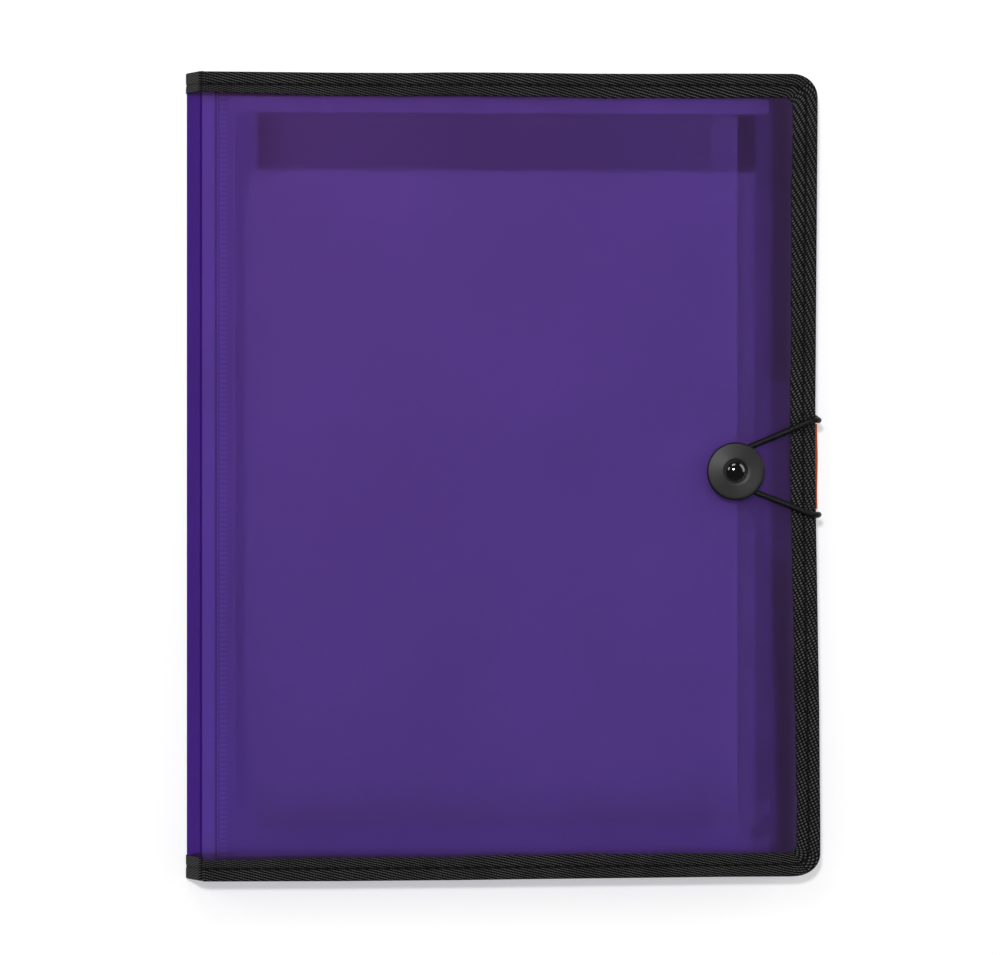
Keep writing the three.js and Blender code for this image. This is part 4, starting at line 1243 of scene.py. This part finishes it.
# %% Tube along a route
def smooth_route(points, step):
    """Points at an even step on a centripetal Catmull-Rom curve through the given ones."""
    points = np.array(points, float)
    ends = np.vstack([2 * points[0] - points[1], points, 2 * points[-1] - points[-2]])
    knots = np.concatenate([[0], np.cumsum(np.sqrt(np.linalg.norm(np.diff(ends, axis=0), axis=1)))])
    out = []
    for k in range(1, len(ends) - 2):
        p, s = ends[k - 1:k + 3], knots[k - 1:k + 3]
        t = np.linspace(s[1], s[2], 24, endpoint=False)[:, None]

        def mixed(first, second, m, n):
            """Between two points as t goes from knot m to knot n."""
            return (s[n] - t) / (s[n] - s[m]) * first + (t - s[m]) / (s[n] - s[m]) * second

        a = [mixed(p[m], p[m + 1], m, m + 1) for m in range(3)]
        b = [mixed(a[m], a[m + 1], m, m + 2) for m in range(2)]
        out.append(mixed(b[0], b[1], 1, 2))
    dense = np.vstack(out + [points[-1:]])
    run = length_along(dense)
    even = np.linspace(0, run[-1], int(run[-1] / step) + 1)
    return points_at(even, run, dense), even


def frames_along(route, first_side):
    """Two unit vectors across the route at each point, carried along with the least twist."""
    ahead = unit(np.gradient(route, axis=0))
    side = np.zeros_like(route)
    current = np.array(first_side, float)
    for k, direction in enumerate(ahead):
        current = current - direction * (current @ direction)
        current /= np.linalg.norm(current)
        side[k] = current
    return side, np.cross(ahead, side)


CORD_RADIUS = 1.25
CORD_STEP = 0.15
CORD_SIDES = 56
BRAID_STRANDS = 7
BRAID_TURN = 7.5
RIDGE = 0.03


def braided(name, route, run, first_side, wide=None, flat=None):
    """Braided tube: radius is CORD_RADIUS plus ridges, the higher of sin(n a + k s) and
    sin(n a - k s) for angle a and distance s. wide and flat scale it across, for sewn ends."""
    side, rise = frames_along(route, first_side)
    angle = np.linspace(0, 2 * np.pi, CORD_SIDES, endpoint=False)[None, :]
    turn = (2 * np.pi / BRAID_TURN * run * BRAID_STRANDS)[:, None] / 2
    ridge = np.maximum(np.sin(BRAID_STRANDS * angle + turn), np.sin(BRAID_STRANDS * angle - turn))
    radius = CORD_RADIUS * (1.0 - 0.5 * RIDGE + RIDGE * ridge)
    wide = np.ones(len(route)) if wide is None else wide
    flat = np.ones(len(route)) if flat is None else flat
    points = (route[:, None] + side[:, None] * (radius * np.cos(angle) * wide[:, None])[..., None]
              + rise[:, None] * (radius * np.sin(angle) * flat[:, None])[..., None])
    around = np.linspace(0, 2 * np.pi * CORD_RADIUS, CORD_SIDES + 1)
    uv = np.stack(np.broadcast_arrays(run[:, None], around[None, :]), -1)
    return grid_piece(name, points, uv, sharp=60)


# %% Route of the elastic
back_edge = box_mm("back_binding")[1][0]
swing_pivot, unfold_pivot = pivot("elastic_swing"), pivot("elastic_unfold")
closure_y = button_middle[1]
ANCHORS = {"upper": closure_y + 27.5, "lower": closure_y - 20.7}
CROSSINGS = {"upper": closure_y + 21.5, "lower": closure_y - 18.2}
post_low, post_high = box_mm("button_spacer")
post_z = 0.5 * (post_low[2] + post_high[2])
LOOP_SLACK, CORD_GAP = 1.1, 0.3
WRAP_ANGLES = (111, 249)
post_wrap = 0.5 * (post_high - post_low)[0] + CORD_GAP + CORD_RADIUS + LOOP_SLACK
over_edge_z = box_mm("front_binding")[1][2] + CORD_GAP + CORD_RADIUS


def riser_points(which):
    """Points inside the binding, and the foot and the head of the straight strand outside it."""
    anchor, crossing = ANCHORS[which], CROSSINGS[which]
    foot = np.array([swing_pivot[0], anchor, swing_pivot[1]])
    head = np.array([unfold_pivot[0], crossing, unfold_pivot[1]])
    inside = [[back_edge - 4.8, anchor, 1.0], [back_edge - 2.0, anchor, 1.0], [back_edge + 0.2, anchor, 1.02]]
    return inside, foot, head


def loop_points():
    """Round the post between the two strands, with the corner over the front edge as an arc."""
    wrap = np.radians(np.linspace(*WRAP_ANGLES, 9))
    round_post = np.stack([button_middle[0] + post_wrap * np.cos(wrap),
                           closure_y + LOOP_SLACK + post_wrap * np.sin(wrap), np.full(9, post_z)], 1)
    bend = over_edge_z - unfold_pivot[1]
    legs = []
    for which, meet in (("upper", round_post[0]), ("lower", round_post[-1])):
        _, foot, head = riser_points(which)
        tilt = np.radians([30, 60, 90])
        corner = np.stack([head[0] - bend * (1 - np.cos(tilt)), np.full(3, head[1]),
                           head[2] + bend * np.sin(tilt)], 1)
        over_tape = corner[-1] + (meet - corner[-1]) / 3
        over_tape[2] = over_edge_z
        legs.append(np.vstack([0.5 * (foot + head), 0.2 * foot + 0.8 * head, head, corner, over_tape]))
    return np.vstack([legs[0], round_post, legs[1][::-1]])


def make_elastic_material():
    """Braid in black yarn: the spirals of the mesh get a fine thread pattern of their own, whose
    raised threads are painted a little lighter, a painted highlight.
    """
    material, tree, shader = finish_of("braided_elastic", Roughness=0.38, Specular_IOR_Level=0.22)
    height = twill_nodes(tree, Row=0.55, Column=0.5, Shift=0.25, Lean=0.9,
                         Length=0.34, Width=0.2, Jitter=0.06)
    tint(tree, shader, height, grey(0.002), grey(0.012))
    bump(tree, shader, height, 0.06, 0.7)
    return material


elastic_material = make_elastic_material()
elastic_length = 0.0
SEWN_WIDE, SEWN_FLAT = 1.36, 0.3
for which in ("upper", "lower"):
    inside, foot, head = riser_points(which)
    strand = [foot + [-0.35, 0, -0.1], 0.8 * foot + 0.2 * head, 0.5 * (foot + head)]
    route, run = smooth_route(np.vstack([inside, strand]), CORD_STEP)
    out = ease((route[:, 0] - back_edge + 0.6) / 2.4)
    wide, flat = SEWN_WIDE + (1 - SEWN_WIDE) * out, SEWN_FLAT + (1 - SEWN_FLAT) * out
    piece = braided(f"elastic_riser_{which}", route, run, (0, 1, 0), wide, flat)
    near, far = in_plane(*(swing_pivot - [1.2, 0.2])), in_plane(*(swing_pivot + [0.6, 1.6]))
    dress(piece, elastic_material, blend=("back_cover", "elastic_strands", near, far),
          instead_of=[f"elastic_{which}_end", f"elastic_{which}_riser"])
    elastic_length += run[-1]

route, run = smooth_route(loop_points(), CORD_STEP)
piece = braided("elastic_loop_cord", route, run, (0, 1, 0))
near, far = in_plane(*(unfold_pivot + [0, -1.5])), in_plane(*(unfold_pivot + [-1.5, 2.4]))
dress(piece, elastic_material, blend=("elastic_strands", "elastic_loop", near, far),
      instead_of=["elastic_loop"])
elastic_length += run[-1]
print("elastic from end to end:", round(elastic_length, 1), "mm")


# %% [markdown]
# ## Ribbon tag
#
# A short orange ribbon is folded double and its ends are caught in the seam of the back binding.
# Its section is a long loop: flat ends together, then two runs that part and meet in a round fold.

# %% Tag
RIB_PITCH = 0.9


def make_ribbon_material():
    """Orange yarn, darker between the ribs: painted shade in the hollows between them."""
    material, tree, shader = finish_of("orange_ribbon", Roughness=0.7, Sheen_Weight=0.15, Sheen_Roughness=0.4)
    where = in_millimetres(tree)
    _, y, _ = parts_of(tree, where)
    rib = (y * (2 * math.pi / RIB_PITCH)).put_through("SINE") * 0.5 + 0.5
    grain = grain_nodes(tree, 0.3, 9.0, where)
    shade = (rib * (grain["Shade"] * 0.6 + 0.6)).clamped()
    tint(tree, shader, shade, (0.56, 0.08, 0.012, 1), (0.68, 0.13, 0.03, 1))
    bump(tree, shader, rib, 0.08, 0.7)
    return material


def make_tag():
    """Closed section in X and Z: the outer run out to the fold and back, then the inner run."""
    low, high = box_mm("edge_tag")
    thick, middle = 0.4, 0.5 * (low[2] + high[2])
    radius = 0.5 * (high[2] - low[2])
    fold = (high[0] - radius, middle)
    root, mouth, touching = back_edge + 0.5, back_edge + 2.6, 0.02
    flare = np.linspace(0, 1, 7)[:, None]
    x_in = root + flare * (mouth - root)
    mirror = lambda line: line * (1, -1) + (0, 2 * middle)
    lower = np.hstack([x_in, middle - thick - ease(flare) * (radius - thick)])
    outer = np.vstack([[[low[0], middle - thick]], lower, arc(fold, radius, -90, 90, 12),
                       mirror(lower)[::-1], [[low[0], middle + thick]]])
    lower = np.hstack([x_in, middle - touching - ease(flare) * (radius - thick - touching)])
    inner = np.vstack([[[low[0], middle + touching]], mirror(lower), arc(fold, radius - thick, 90, -90, 12),
                       lower[::-1], [[low[0], middle - touching]]])
    section = np.vstack([outer, inner])
    y = np.linspace(low[1], high[1], 80)
    reach = np.clip((section[:, 0] - mouth) / (high[0] - mouth), 0, 1)
    piece = carried("ribbon_tag", section, y, 1, (0, 2), reach * (0.12 * np.sin(y * 0.22) - 0.1)[:, None])
    dress(piece, make_ribbon_material(), "back_cover", instead_of=["edge_tag"])


make_tag()

# %% [markdown]
# ## Sizes of the exact and the dressed model
#
# The sizes of the exact model and of the dressed one are printed in millimetres. The
# dressed model has to stay inside the exact one, apart from a little proud fabric.

# %% Sizes
bounds = {"cad": cad_bounds, "visual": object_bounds()}
for label, (low, high) in bounds.items():
    print(label, [round((b - a) * 1000, 2) for a, b in zip(low, high)], "mm")
